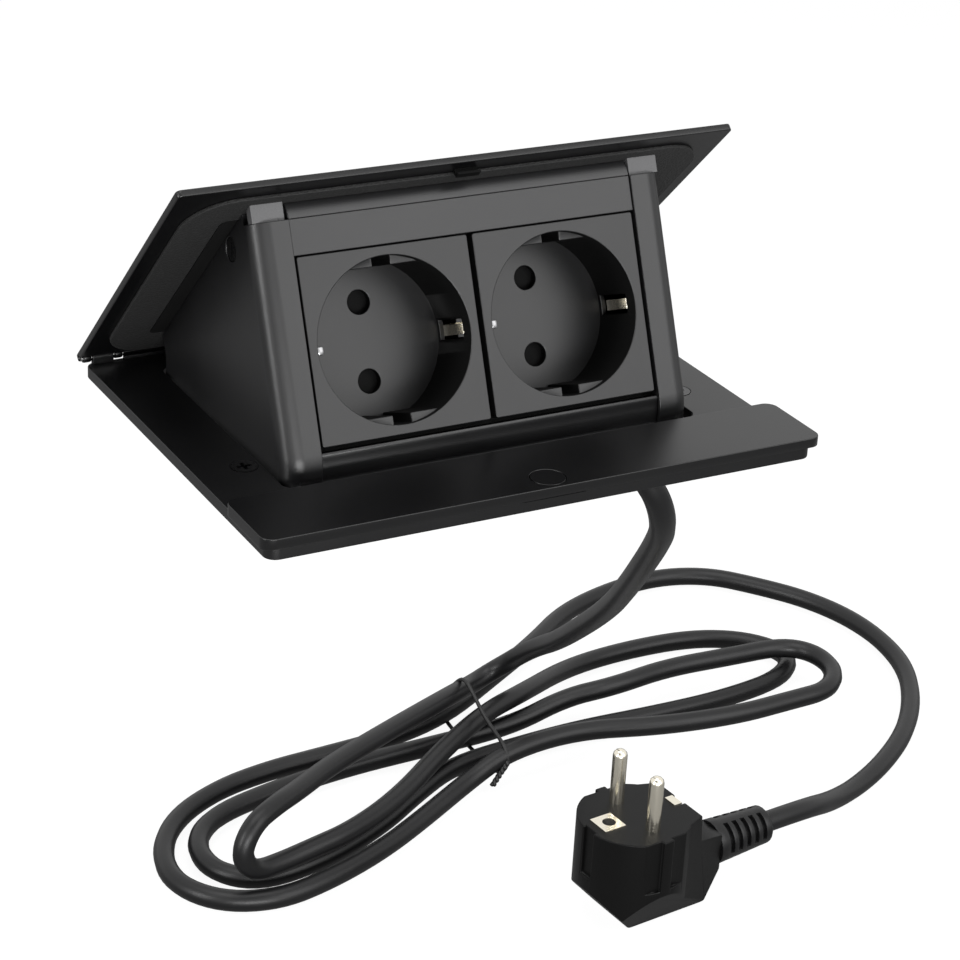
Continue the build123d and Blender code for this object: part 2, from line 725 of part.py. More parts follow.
def torsion_spring():
    """Coil on the arbor, with one leg under the flange and one on the block."""
    centre_y, centre_z = polar(coil_reach, coil_angle)
    height = coil_turns * coil_pitch
    turns = Helix(pitch=coil_pitch, height=height, radius=coil_radius)
    front_leg = Line(turns @ 0 - (turns % 0) * coil_leg, turns @ 0)
    rear_leg = Line(turns @ 1, turns @ 1 + (turns % 1) * coil_leg)
    path = Wire([front_leg, turns, rear_leg])
    section = RegularPolygon(coil_wire, coil_wire_sides)
    coil = sweep(Plane(origin=path @ 0, z_dir=path % 0) * section, path=path)
    return Pos(height / 2, centre_y, centre_z) * Rot(0, -90, 0) * coil


def front_sill():
    """Lower front of the block, between the columns, with a lip under the sockets."""
    half = column_inner - strip_play
    top = face_bottom - strip_play
    points = [
        face_point(top, 0),
        face_point(top - sill_lip, 0),
        face_point(top - sill_lip, -sill_step),
        face_point(top - sill_height / 2, -sill_step * 2),
        polar(block_reach - sill_set_back, -bottom_angle),
        polar(block_reach - sill_depth, -bottom_angle),
        polar(block_reach - sill_depth, math.degrees((bottom_thickness + bottom_play) / block_reach) - bottom_angle),
        face_point(top - sill_depth, -sill_depth),
        face_point(top - sill_depth / 2, -cover_thickness - frame_thickness),
        face_point(top, -cover_thickness - frame_thickness),
    ]
    sill = side_prism(points, -half, half)
    return sill & along_x(block_reach, -half, half, hinge_y, hinge_z)


def top_strip():
    """Plain strip above the sockets."""
    half = column_inner - strip_play
    return on_face(block(-half, half, face_window_top, column_top, -cover_thickness, 0))


def top_band():
    """Slightly curved band that leans back from the strip to the lid."""
    half = column_inner - strip_play
    start = face_point(column_top, 0)
    end = lid_point(block_reach - band_setback, gasket_bottom)
    inner_end = lid_point(block_reach - band_setback - band_thickness * 2, gasket_bottom)
    inner_start = face_point(column_top, -band_thickness)
    middle = ((start[0] + end[0]) / 2 - band_rise, (start[1] + end[1]) / 2 + band_rise)
    outer = ThreePointArc(start, middle, end)
    outline = make_face([outer, Line(end, inner_end), Line(inner_end, inner_start), Line(inner_start, start)])
    return extrude(Plane.YZ.offset(-half) * outline, amount=2 * half)


def column_caps():
    """Rough recessed patches between the columns and the lid."""
    x0 = column_inner + (column_width - cap_width) / 2
    cap = on_face(block(x0, x0 + cap_width, column_top, block_reach, -cap_depth - cap_recess, -cap_recess))
    cap &= side_prism([face_point(0, over), face_point(column_top, over), lid_point(block_reach, gasket_bottom),
                       lid_point(block_reach / 2, gasket_bottom), face_point(0, -face_distance / 2)], x0 - over, x0 + cap_width + over)
    return both_sides(cap)


def support_frame():
    """Frame behind the sockets, with lugs for the side screws."""
    half = column_inner
    frame = on_face(block(-half, half, face_bottom, column_top - strip_play, -cover_thickness - frame_thickness, -cover_thickness))
    for side in (-1, 1):
        frame -= on_face(Pos(side * cover_x, cover_v, -cover_thickness) * Cylinder(well_outer + module_pitch_gap / 2, frame_thickness * 3))
    screw_y, screw_z = side_screw_place()
    depth = (face_y - screw_y) * math.cos(lean) + (screw_z - face_z) * math.sin(lean)
    height = (screw_y - face_y) * math.sin(lean) + (screw_z - face_z) * math.cos(lean)
    lug = on_face(block(half - lug_thickness, half, height - lug_height / 2, height + side_boss_radius / 2,
                        depth - side_boss_radius, -cover_thickness - frame_thickness))
    lug &= block_wedge(half - lug_thickness, half, block_reach, 0)
    lug -= along_x(side_screw_radius, 0, block_half_width, screw_y, screw_z)
    return frame + both_sides(lug)


def side_screws():
    """Recessed pan-head screws in the cheeks."""
    screw_y, screw_z = side_screw_place()
    head = along_x(side_screw_head_radius, block_half_width - side_screw_head_height, block_half_width - screw_hole_clearance, screw_y, screw_z)
    head -= block(block_half_width - side_screw_head_height / 2, block_half_width + over, screw_y - screw_slot_width / 2,
                  screw_y + screw_slot_width / 2, screw_z - screw_slot_width * 2, screw_z + screw_slot_width * 2)
    shank = along_x(side_screw_radius, column_inner - lug_thickness * 2, block_half_width - side_screw_head_height, screw_y, screw_z)
    return both_sides(head + shank)


def well_place(side, part):
    """Place a solid drawn about a well's axis."""
    return on_face(Pos(side * cover_x, cover_v, 0) * part)


def socket_cover(side):
    """Front plate with the well, its ribs, pin holes and clip slots."""
    plate = extrude(Pos(0, 0, -cover_thickness) * RectangleRounded(cover_size, cover_size, cover_corner), amount=cover_thickness)
    cup = Pos(0, 0, (floor_back - cover_thickness) / 2) * Cylinder(well_outer, -floor_back - cover_thickness)
    cover = plate + cup
    cover -= Pos(0, 0, (over - well_depth) / 2) * Cylinder(well_radius, well_depth + over)
    rib = Pos(0, 0, (-well_depth - rib_drop) / 2) * Cylinder(well_radius, well_depth - rib_drop)
    rib -= block(-well_radius, well_radius, -rib_chord, rib_chord, -well_depth - over, over)
    rib -= block(-rib_slot_width / 2, rib_slot_width / 2, -well_radius, well_radius, -well_depth - over, over)
    cover += rib
    for v in (-pin_pitch / 2, pin_pitch / 2):
        cover -= Pos(0, v, -well_depth) * Cylinder(pin_hole_radius, well_floor * 3)
    slots = block(-well_outer - over, well_outer + over, -clip_slot_half, clip_slot_half, -well_depth + over, -clip_top + screw_hole_clearance)
    slots -= Pos(0, 0, -well_depth / 2) * Cylinder(well_radius - over, well_depth * 2)
    cover -= slots
    return well_place(side, cover)


def socket_body(side):
    """Housing behind the well, with the shutter's pocket and the contact bores."""
    points = [
        (-body_half_height, floor_back),
        (-body_half_height, -body_chamfer_depth),
        (-body_half_height + body_chamfer, -body_depth),
        (body_half_height - well_wall, -body_depth),
        (body_half_height, -body_depth + well_floor),
        (body_half_height, floor_back),
    ]
    outline = make_face(Polyline(*points, close=True))
    body = extrude(Plane(origin=(-well_outer, 0, 0), x_dir=(0, 1, 0), z_dir=(1, 0, 0)) * outline, amount=2 * well_outer)
    half = shutter_room()
    body -= block(-half, half, -shutter_half_height - shutter_play, shutter_half_height + shutter_play, pocket_back, floor_back + over)
    for v in (-pin_pitch / 2, pin_pitch / 2):
        bore = contact_outer_radius + contact_play
        body -= Pos(0, v, pocket_back - contact_length / 2) * Cylinder(bore, contact_length + over / 2)
    return well_place(side, body)


def shutter_room():
    """Half length of the shutter's pocket."""
    return shutter_travel + shutter_hole_radius + shutter_margin + shutter_play


def shutter(side):
    """Sliding plate that hides the contacts behind the pin holes."""
    z0 = floor_back - shutter_play - shutter_thickness
    plate = block(-pin_hole_radius - shutter_margin, shutter_room() - shutter_play, -shutter_half_height, shutter_half_height, z0, z0 + shutter_thickness)
    for v in (-pin_pitch / 2, pin_pitch / 2):
        plate -= Pos(shutter_travel, v, z0) * Cylinder(shutter_hole_radius, shutter_thickness * 3)
    return well_place(side, plate)


def line_contacts(side):
    """Two slit brass sleeves behind the shutter."""
    contacts = Part()
    middle = pocket_back - contact_length / 2
    for v in (-pin_pitch / 2, pin_pitch / 2):
        sleeve = Cylinder(contact_outer_radius, contact_length) - Cylinder(contact_bore_radius, contact_length + over)
        sleeve -= block(0, contact_outer_radius + over, -contact_slit / 2, contact_slit / 2, -contact_length, contact_length)
        contacts += Pos(0, v, middle) * sleeve
    return well_place(side, contacts)


def earth_clips(side):
    """Sprung earth strips at the left and right of the well."""
    inside = well_radius - clip_bulge
    outside = well_outer
    path = [
        (well_radius + clip_thickness / 4, -clip_top),
        (inside, -well_depth / 2 + clip_thickness),
        (inside, -well_depth / 2 - clip_bulge),
        (outside, -well_depth + clip_half_height),
        (outside, -clip_leg),
    ]
    outline = path + [(x + clip_thickness, z) for x, z in reversed(path)]
    section = Plane(origin=(0, clip_half_height, 0), x_dir=(1, 0, 0), z_dir=(0, -1, 0))
    clip = extrude(section * make_face(Polyline(*outline, close=True)), amount=2 * clip_half_height)
    return well_place(side, both_sides(clip))


def release_button():
    """Flush round button with the wedge that pushes the slide."""
    disc = upright(button_radius, 0, button_y, bar_top - button_disc, bar_top)
    slope = slide_travel / button_travel
    front = slot_front_y + wedge_play
    top = bar_top - button_disc
    tip = slide_top - (wedge_rear_y - front) / slope
    points = [
        (wedge_rear_y, top),
        (front - slope * (top - slide_top), top),
        (wedge_rear_y, tip),
    ]
    return disc + side_prism(points, -wedge_half_width, wedge_half_width)


def latch_slide():
    """Thin slide with the tongue, the wedge's slot and the spring's window."""
    front = slot_front_y - slide_front_margin
    body = block(-slide_half_width, slide_half_width, front, bar_back - over, slide_bottom, slide_top)
    tongue = block(-tongue_half_width, tongue_half_width, bar_back - over * 2, tongue_tip_y, slide_bottom, slide_top)
    half = wedge_half_width + wedge_play * 2
    slot = block(-half, half, slot_front_y, slot_rear_y, slide_bottom - over, slide_top + over)
    half = spring_radius + spring_wire * 2
    window = block(-half, half, spring_front_y - spring_seat - slide_travel / 2, spring_front_y + spring_length + spring_seat,
                   slide_bottom - over, slide_top + over)
    return body + tongue - slot - window


def latch_spring():
    """Small coil between the flange's groove and the slide."""
    path = Helix(pitch=spring_length / spring_turns, height=spring_length, radius=spring_radius)
    start = path @ 0
    section = RegularPolygon(spring_wire, spring_wire_sides)
    coil = sweep(Plane(origin=start, z_dir=path % 0) * section, path=path)
    return Pos(0, spring_front_y, flange_thickness) * Rot(-90, 0, 0) * coil


def cable_gland():
    """Ringed gland under the bottom cover, round the cord's end."""
    y = hinge_y - gland_reach
    gland = upright(gland_neck_radius, gland_x, y, hinge_z, hinge_z + bottom_thickness)
    ring_height = gland_length / gland_rings
    for i in range(gland_rings):
        z = hinge_z - ring_height * (i + 1)
        grow = gland_radius - gland_taper * (i % 2)
        gland += upright(grow, gland_x, y, z, z + ring_height)
    return swung(gland, bottom_angle)


def cord_start():
    """The middle of the gland's lower end, and the direction out of it."""
    turn = math.radians(bottom_angle)
    reach = gland_reach
    y = hinge_y - reach * math.cos(turn) + gland_length * math.sin(turn)
    z = hinge_z - reach * math.sin(turn) - gland_length * math.cos(turn)
    return Vector(gland_x, y, z), Vector(0, math.sin(turn), -math.cos(turn))


def plug_place(part):
    """Place a solid drawn about the plug's axis, its face at zero and its cable end along X."""
    return Pos(plug_x, plug_y, plug_face_z) * Rot(0, 0, plug_turn) * part


def cord_end():
    """The middle of the relief's end, and the direction out of it."""
    turn = math.radians(plug_turn)
    out = Vector(math.cos(turn), math.sin(turn), 0)
    middle = Vector(plug_x, plug_y, plug_face_z - relief_drop)
    return middle + out * (plug_neck_end + relief_length), out


def bend_radii(points):
    """Radius at each corner: as large as its two runs allow."""
    radii = []
    for a, b, c in zip(points, points[1:], points[2:]):
        before = Vector(b) - Vector(a)
        after = Vector(c) - Vector(b)
        shorter = min(before.length, after.length)
        half_turn = math.radians(before.get_angle(after)) / 2
        radii.append(cord_bend_share * shorter / math.tan(half_turn))
    return radii


def tube(points, name):
    """Cord along straight runs joined by arcs."""
    radii = bend_radii(points)
    path = FilletPolyline(*points, radius=radii)
    section = RegularPolygon(cord_radius, cord_sides)
    solid = sweep(Plane(origin=path @ 0, z_dir=path % 0) * section, path=path)
    print(name, "radii", [round(r) for r in radii], "length", round(path.length))
    print(name, "volume", round(solid.volume), "section times length", round(section.area * path.length))
    return solid, path


def least_gap(path):
    """Least gap of a tube to itself, measured on points along it."""
    count = round(path.length / (cord_radius / 2))
    places = [tuple(path @ (i / count)) for i in range(count + 1)]
    near = round(6 * math.pi * cord_radius / path.length * count)
    gaps = [math.dist(a, b) for i, a in enumerate(places) for b in places[i + near:]]
    return min(gaps) - 2 * cord_radius


def cord_drop():
    """Free stretch from the gland to the hank."""
    start, out = cord_start()
    points = [tuple(start), tuple(start + out * cord_exit_run)] + drop_route
    return tube(points, "cord_drop")[0]


def cord_hank():
    """Three loops to the left and two to the right, in one unbroken length."""
    solid, path = tube(hank_route, "cord_hank")
    print("cord_hank least gap to itself", round(least_gap(path), 2))
    return solid


def cord_tail():
    """Stretch from the hank round to the plug."""
    end, out = cord_end()
    points = tail_route + [tuple(end + out * cord_plug_run), tuple(end)]
    return tube(points, "cord_tail")[0]


def cord_tie():
    """Narrow band round the hank's waist."""
    depth = tie_y1 - tie_y0
    low = floor_z - cord_radius - tie_gap - tie_thickness
    height = tie_top - low
    inner = RectangleRounded(depth - 2 * tie_thickness, height - 2 * tie_thickness, tie_corner - tie_thickness)
    ring = RectangleRounded(depth, height, tie_corner) - inner
    place = Plane(origin=(tie_x - tie_width / 2, (tie_y0 + tie_y1) / 2, (low + tie_top) / 2), x_dir=(0, 1, 0), z_dir=(1, 0, 0))
    return extrude(place * ring, amount=tie_width)


def plug_body():
    """Angled plug: a round front that runs out into a lower neck."""
    side = [
        (-plug_radius, 0),
        (plug_radius, 0),
        (plug_radius + plug_flare, -plug_shoulder),
        (plug_neck_end, -relief_drop + plug_neck_radius),
        (plug_neck_end, -relief_drop - plug_neck_radius),
        (plug_foot_front, -plug_height),
        (-plug_foot_back, -plug_height),
        (-plug_radius, -plug_back_height),
    ]
    outline = make_face(Polyline(*side, close=True))
    outline = fillet(outline.vertices().sort_by(Axis.Y)[:2], plug_rounding)
    body = extrude(Plane.XZ.offset(-plug_radius) * outline, amount=2 * plug_radius)
    plan = Circle(plug_radius) + make_face(Polyline((0, -plug_radius), (plug_neck_end, -plug_neck_radius),
                                                    (plug_neck_end, plug_neck_radius), (0, plug_radius), close=True))
    body &= extrude(Pos(0, 0, -plug_height) * plan, amount=plug_height)
    body &= side_prism([(-plug_radius, over), (plug_radius, over), (plug_radius, -plug_side_height), (plug_keel_half_width, -plug_height),
                        (-plug_keel_half_width, -plug_height), (-plug_radius, -plug_side_height)], -plug_radius - over, plug_neck_end + over)
    for y in (-1, 1):
        flat = block(-plug_radius, plug_radius, plug_flat, plug_radius + over, -plug_flat_height, over)
        flat -= block(-plug_ridge_half_width, plug_ridge_half_width, 0, plug_radius + over * 2, -plug_flat_height, over)
        body -= Rot(0, 0, 90 - y * 90) * flat
        x = y * plug_radius
        depth = earth_strip_thickness + earth_groove_gap
        half = earth_strip_half_width + earth_groove_gap
        body -= block(min(x, x - y * depth), max(x + over * y, x - y * depth, x), -half, half, -earth_strip_length - earth_groove_gap, over)
    return plug_place(body)


def plug_relief():
    """Tapering relief of rings on a core."""
    step = relief_length / (2 * relief_rings - 1)
    relief = Part()
    for i in range(2 * relief_rings - 1):
        share = i / (2 * relief_rings - 2)
        radius = relief_start_radius + share * (relief_end_radius - relief_start_radius) - relief_groove * (i % 2)
        relief += along_x(radius, plug_neck_end + i * step, plug_neck_end + (i + 1) * step, 0, -relief_drop)
    return plug_place(relief)


def plug_pins():
    """Two round pins with bevelled ends."""
    pin = Pos(0, 0, plug_pin_length / 2) * Cylinder(plug_pin_radius, plug_pin_length)
    pin = chamfer(pin.edges().sort_by(Axis.Z)[-1], plug_pin_edge)
    pins = Part()
    for y in (-pin_pitch / 2, pin_pitch / 2):
        pins += Pos(0, y, 0) * pin
    return plug_place(pins)


def plug_earth_contacts():
    """Earth strips in the plug's sides."""
    outer = plug_radius - earth_groove_gap
    strip = block(outer - earth_strip_thickness, outer, -earth_strip_half_width, earth_strip_half_width, -earth_strip_length, 0)
    return plug_place(both_sides(strip))


nodes = {
    "base_frame": base_frame,
    "front_bar": front_bar,
    "desk_screws": desk_screws,
    "bar_screws": bar_screws,
    "hinge_pins": hinge_pins,
    "lid_plate": lid_plate,
    "lid_gasket": lid_gasket,
    "lid_liner": lid_liner,
    "lid_striker": lid_striker,
    "cheek_right": cheek_right,
    "cheek_left": lambda: mirror(cheek_right(), about=Plane.YZ),
    "bottom_cover": bottom_cover,
    "cover_screws": cover_screws,
    "rear_wall": rear_wall,
    "spring_arbor": spring_arbor,
    "torsion_spring": torsion_spring,
    "front_sill": front_sill,
    "top_strip": top_strip,
    "top_band": top_band,
    "column_caps": column_caps,
    "support_frame": support_frame,
    "side_screws": side_screws,
    "socket_cover_left": lambda: socket_cover(-1),
    "socket_cover_right": lambda: socket_cover(1),
    "socket_body_left": lambda: socket_body(-1),
    "socket_body_right": lambda: socket_body(1),
    "shutter_left": lambda: shutter(-1),
    "shutter_right": lambda: shutter(1),
    "line_contacts_left": lambda: line_contacts(-1),
    "line_contacts_right": lambda: line_contacts(1),
    "earth_clips_left": lambda: earth_clips(-1),
    "earth_clips_right": lambda: earth_clips(1),
    "release_button": release_button,
    "latch_slide": latch_slide,
    "latch_spring": latch_spring,
    "cable_gland": cable_gland,
    "cord_drop": cord_drop,
    "cord_hank": cord_hank,
    "cord_tail": cord_tail,
    "cord_tie": cord_tie,
    "plug_body": plug_body,
    "plug_relief": plug_relief,
    "plug_pins": plug_pins,
    "plug_earth_contacts": plug_earth_contacts,
}

os.makedirs("parts", exist_ok=True)
for name, make in nodes.items():
    export_step(make(), os.path.join("parts", name + ".step"))
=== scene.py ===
import math

import bmesh
import bpy
from mathutils import Matrix, Vector


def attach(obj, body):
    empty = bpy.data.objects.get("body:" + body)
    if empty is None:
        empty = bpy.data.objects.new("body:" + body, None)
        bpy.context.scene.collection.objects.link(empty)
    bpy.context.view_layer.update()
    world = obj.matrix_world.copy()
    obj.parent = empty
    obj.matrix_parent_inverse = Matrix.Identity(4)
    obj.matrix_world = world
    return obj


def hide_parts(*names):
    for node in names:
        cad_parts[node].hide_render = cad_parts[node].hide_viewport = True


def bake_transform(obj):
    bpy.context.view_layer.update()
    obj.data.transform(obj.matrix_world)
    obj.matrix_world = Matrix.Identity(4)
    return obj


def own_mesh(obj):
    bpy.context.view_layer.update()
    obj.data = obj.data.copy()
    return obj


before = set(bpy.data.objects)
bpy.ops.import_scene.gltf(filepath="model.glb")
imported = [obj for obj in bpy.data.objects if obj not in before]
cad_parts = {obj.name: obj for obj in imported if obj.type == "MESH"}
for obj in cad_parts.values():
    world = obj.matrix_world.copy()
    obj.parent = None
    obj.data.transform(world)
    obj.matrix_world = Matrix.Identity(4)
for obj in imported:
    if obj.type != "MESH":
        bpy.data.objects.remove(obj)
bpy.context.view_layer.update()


# Flange
# A thin plate moulded in ABS, which lies on the desk round the opening and is
# screwed down. It has a fine spark-eroded texture and slightly eased edges.

def linear(hex_text):
    """Linear colour of an sRGB hex value."""
    parts = [int(hex_text[i:i + 2], 16) / 255 for i in (1, 3, 5)]
    return [p / 12.92 if p <= 0.04045 else ((p + 0.055) / 1.055) ** 2.4 for p in parts] + [1.0]


def add(tree, kind, sockets=None, **settings):
    """Add one node, with its settings, values and links."""
    made = tree.nodes.new(kind)
    for name, value in settings.items():
        setattr(made, name, value)
    for name, value in (sockets or {}).items():
        if isinstance(value, bpy.types.NodeSocket):
            tree.links.new(value, made.inputs[name])
        else:
            made.inputs[name].default_value = value
    return made


def moulded(name, hex_dark, hex_light, roughness, grain, depth, level=0.5):
    """Moulded plastic, slightly cloudy, with a grain of that size and depth in metres."""
    # The clouds are about 22 mm across. The real grain is finer and is drawn as coarse as it needs to show.
    cloud_size, spread = 1 / 45, 0.05
    material = bpy.data.materials.new(name)
    material.use_nodes = True
    tree = material.node_tree
    tree.nodes.clear()
    place = add(tree, "ShaderNodeTexCoord").outputs["Object"]
    cloud = add(tree, "ShaderNodeTexNoise", {"Vector": place, "Scale": 1 / cloud_size, "Detail": 3.0})
    pits = add(tree, "ShaderNodeTexNoise", {"Vector": place, "Scale": 1 / grain, "Detail": 2.0})
    colour = add(tree, "ShaderNodeMix", {"Factor": cloud.outputs["Fac"], "A": linear(hex_dark),
                                         "B": linear(hex_light)}, data_type="RGBA")
    gloss = add(tree, "ShaderNodeMapRange", {"Value": cloud.outputs["Fac"], "To Min": roughness - spread,
                                             "To Max": roughness + spread})
    bump = add(tree, "ShaderNodeBump", {"Height": pits.outputs["Fac"], "Strength": 1.0, "Distance": depth})
    shader = add(tree, "ShaderNodeBsdfPrincipled", {"Base Color": colour.outputs["Result"],
                                                    "Roughness": gloss.outputs["Result"],
                                                    "Normal": bump.outputs["Normal"],
                                                    "Specular IOR Level": level})
    add(tree, "ShaderNodeOutputMaterial", {"Surface": shader.outputs["BSDF"]})
    return material


weld_gap, crease = 0.000002, math.radians(40)


def outer_edges(shape, angle):
    """Edges of a shape that stick out and turn by more than an angle."""
    return [e for e in shape.edges if e.is_manifold and e.is_convex and e.calc_face_angle() > angle]


def finished(shape, name, body, material):
    """Object from a shape, smooth between its creases, which rides on a body."""
    mesh = bpy.data.meshes.new(name)
    shape.to_mesh(mesh)
    shape.free()
    mesh.shade_smooth()
    mesh.set_sharp_from_angle(angle=crease)
    mesh.materials.append(material)
    piece = bpy.data.objects.new(name, mesh)
    bpy.context.scene.collection.objects.link(piece)
    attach(piece, body)
    return piece


def eased(node, name, body, width, material):
    """Copy of a rigid piece with its outer edges rounded over, which stands for it."""
    flat, corner = math.radians(0.5), math.radians(30)
    shape = bmesh.new()
    shape.from_mesh(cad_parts[node].data)
    bmesh.ops.remove_doubles(shape, verts=shape.verts, dist=weld_gap)
    bmesh.ops.dissolve_limit(shape, angle_limit=flat, verts=shape.verts, edges=shape.edges)
    bmesh.ops.bevel(shape, geom=outer_edges(shape, corner), offset=width, offset_type="OFFSET", segments=2,
                    profile=0.5, affect="EDGES", material=-1, clamp_overlap=False)
    piece = finished(shape, name, body, material)
    even = piece.modifiers.new("even", "WEIGHTED_NORMAL")
    even.weight = 100
    even.keep_sharp = True
    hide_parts(node)
    return piece


# A soft, even sheen with a fine grain, a shade glossier than the sockets.
plate_plastic = moulded("textured_black_abs", "#080809", "#0c0c0d", 0.34, 0.00025, 0.000012, 0.4)
flange = eased("base_frame", "flange", "base", 0.00025, plate_plastic)

# The lip along the rear edge stands a little higher, so that no light shows under the lid.
lip_bottom, lip_half_width, lip_rise = 0.0033, 0.0618, 0.00022
for vert in flange.data.vertices:
    if vert.co.z > lip_bottom and abs(vert.co.x) < lip_half_width:
        vert.co.z += lip_rise


# Desk screws
# Four countersunk steel screws, blackened, with crossed recesses that catch
# the light. Two more of the kind hold the bar from below.

def plated(name, hex_metal, roughness):
    """Plated or blackened metal with faint scratches."""
    # The real scratches are finer and are drawn as coarse as they need to show.
    scratch, scratch_depth, smoother, rougher = 0.0004, 0.00001, 0.06, 0.08
    material = bpy.data.materials.new(name)
    material.use_nodes = True
    tree = material.node_tree
    tree.nodes.clear()
    place = add(tree, "ShaderNodeTexCoord").outputs["Object"]
    marks = add(tree, "ShaderNodeTexNoise", {"Vector": place, "Scale": 1 / scratch, "Detail": 3.0})
    gloss = add(tree, "ShaderNodeMapRange", {"Value": marks.outputs["Fac"], "To Min": roughness - smoother,
                                             "To Max": roughness + rougher})
    bump = add(tree, "ShaderNodeBump", {"Height": marks.outputs["Fac"], "Strength": 0.4,
                                        "Distance": scratch_depth})
    shader = add(tree, "ShaderNodeBsdfPrincipled", {"Base Color": linear(hex_metal), "Metallic": 1.0,
                                                    "Roughness": gloss.outputs["Result"],
                                                    "Normal": bump.outputs["Normal"]})
    add(tree, "ShaderNodeOutputMaterial", {"Surface": shader.outputs["BSDF"]})
    return material


def coat(node, material):
    """Give a rigid piece that is kept its finish."""
    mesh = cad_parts[node].data
    mesh.materials.clear()
    mesh.materials.append(material)


# Dark metal, whose edges show as short glints.
black_steel = plated("blackened_steel", "#4a4a4b", 0.28)
coat("desk_screws", black_steel)
coat("bar_screws", black_steel)


# Front bar and release button
# The fixed bar and the flush round button are aluminium with a black powder
# coat. Two screws from below hold the bar, and the button slides in its hole.

# Nearly black from above, with a soft grey glare where it turns to the light.
bar_coat = moulded("black_powder_coat", "#080809", "#0b0b0c", 0.3, 0.0002, 0.000008, 0.4)
bar = eased("front_bar", "front_rail", "base", 0.0002, bar_coat)

# Its lower front edge is set back, which leaves a dark line over the flange.
bar_face_y = -0.055
bar_round = 0.003
groove_height, groove_depth, groove_step, groove_band = 0.0006, 0.0009, 0.00004, 0.0004
shape = bmesh.new()
shape.from_mesh(bar.data)
low_z = min(v.co.z for v in shape.verts if v.co.y < bar_face_y)
front_y = min(v.co.y for v in shape.verts)
inner_x = max(v.co.x for v in shape.verts) - bar_round
for height in (groove_height, groove_height - groove_step):
    bmesh.ops.bisect_plane(shape, geom=shape.verts[:] + shape.edges[:] + shape.faces[:],
                           plane_co=(0, 0, low_z + height), plane_no=(0, 0, 1), dist=weld_gap)
for vert in shape.verts:
    x, y, z = vert.co
    outward = Vector((x - min(max(x, -inner_x), inner_x), y - max(y, front_y + bar_round), 0))
    if z < low_z + groove_height - groove_step / 2 and outward.length > bar_round - groove_band:
        vert.co.y += groove_depth * max(0.0, -outward.normalized().y)
shape.to_mesh(bar.data)
shape.free()
button = eased("release_button", "button", "button", 0.0001, bar_coat)

# The button's rim nearly fills the hole in the bar.
disc_depth, rim_width, rim_growth = 0.0006, 0.0003, 0.03
button_top = max(vert.co.z for vert in button.data.vertices)
disc = [vert.co for vert in button.data.vertices if vert.co.z > button_top - disc_depth]
button_radius = max(place.x for place in disc)
button_y = sum(place.y for place in disc) / len(disc)
for vert in button.data.vertices:
    if math.hypot(vert.co.x, vert.co.y - button_y) > button_radius - rim_width:
        vert.co.x += vert.co.x * rim_growth
        vert.co.y += (vert.co.y - button_y) * rim_growth


# Hinge pins
# Two short steel pins at the rear corners, on which the lid turns. They are
# zinc plated and left bright.

# Bright grey metal with a small clear glint.
bright_steel = plated("zinc_plated_steel", "#c9c9c8", 0.25)
coat("hinge_pins", bright_steel)


# Lid
# A flat aluminium plate in the bar's powder coat, which closes level with the
# bar and carries the block under it.

lid = eased("lid_plate", "lid", "flip", 0.0003, bar_coat)


# Foam seal
# A ring of closed-cell foam rubber stuck under the lid, cut from sheet, so
# that its face shows an open grain.

def foam(name, hex_dark, hex_light, cell):
    """Cut foam rubber: small open cells with paler walls."""
    cell_depth = 0.00015
    material = bpy.data.materials.new(name)
    material.use_nodes = True
    tree = material.node_tree
    tree.nodes.clear()
    place = add(tree, "ShaderNodeTexCoord").outputs["Object"]
    cells = add(tree, "ShaderNodeTexVoronoi", {"Vector": place, "Scale": 1 / cell})
    colour = add(tree, "ShaderNodeMix", {"Factor": cells.outputs["Distance"], "A": linear(hex_dark),
                                         "B": linear(hex_light)}, data_type="RGBA")
    bump = add(tree, "ShaderNodeBump", {"Height": cells.outputs["Distance"], "Strength": 1.0,
                                        "Distance": cell_depth})
    shader = add(tree, "ShaderNodeBsdfPrincipled", {"Base Color": colour.outputs["Result"], "Roughness": 0.75,
                                                    "Normal": bump.outputs["Normal"]})
    add(tree, "ShaderNodeOutputMaterial", {"Surface": shader.outputs["BSDF"]})
    return material


# Dull and rough, darker than the lid's own border.
seal_foam = foam("cut_epdm_foam", "#050505", "#1c1c1c", 0.0006)
seal = eased("lid_gasket", "foam_seal", "flip", 0.0002, seal_foam)


# Liner and hook under the lid
# A thin matt plastic plate that closes the block's top, and the hook on it that the latch holds. The hook is
# drawn in the same near-black as the inner plastic, as painted shade under the lid.

# Matt, so that the space over the block stays dark.
liner_plastic = moulded("matt_black_liner", "#090909", "#0d0d0d", 0.55, 0.0003, 0.00001, 0.3)
# Near-black with almost no sheen: the inner parts' plain black plastic, and painted shade on what lies in
# shade or behind an opening, such as the hook, the shutters and the wells' walls.
inner_plastic_and_painted_shade = moulded("black_abs_and_painted_shade", "#030303", "#050505", 0.7, 0.0003, 0.00001, 0.12)
coat("lid_liner", liner_plastic)
coat("lid_striker", inner_plastic_and_painted_shade)


# Cheeks
# The block's side walls with rounded front columns, moulded in satin black
# polycarbonate and held by screws. The columns' feet curve inwards just over
# the flange.

# A satin sheen that runs down the round columns.
block_plastic = moulded("satin_black_polycarbonate", "#0d0d0e", "#131314", 0.36, 0.00022, 0.00001)

# The block's face: its lean, its ways up and out, and the point midway between the wells.
lean = math.radians(22.45)
face_up = Vector((0, math.sin(lean), math.cos(lean)))
face_out = Vector((0, -math.cos(lean), math.sin(lean)))
face_origin = Vector((0, -0.016290, 0.033747))

# Heights on the face at which the foot begins to draw in, starts back and is straight again.
toe_top, heel, toe_end, toe_curve = -0.027, -0.0335, -0.0368, 40.0
# The front skin moves whole, and what lies deeper moves less, down to this depth.
toe_depth, skin = 0.012, 0.0022
cut_count, cut_pitch, cut_gap = 9, 0.0013, 0.000005


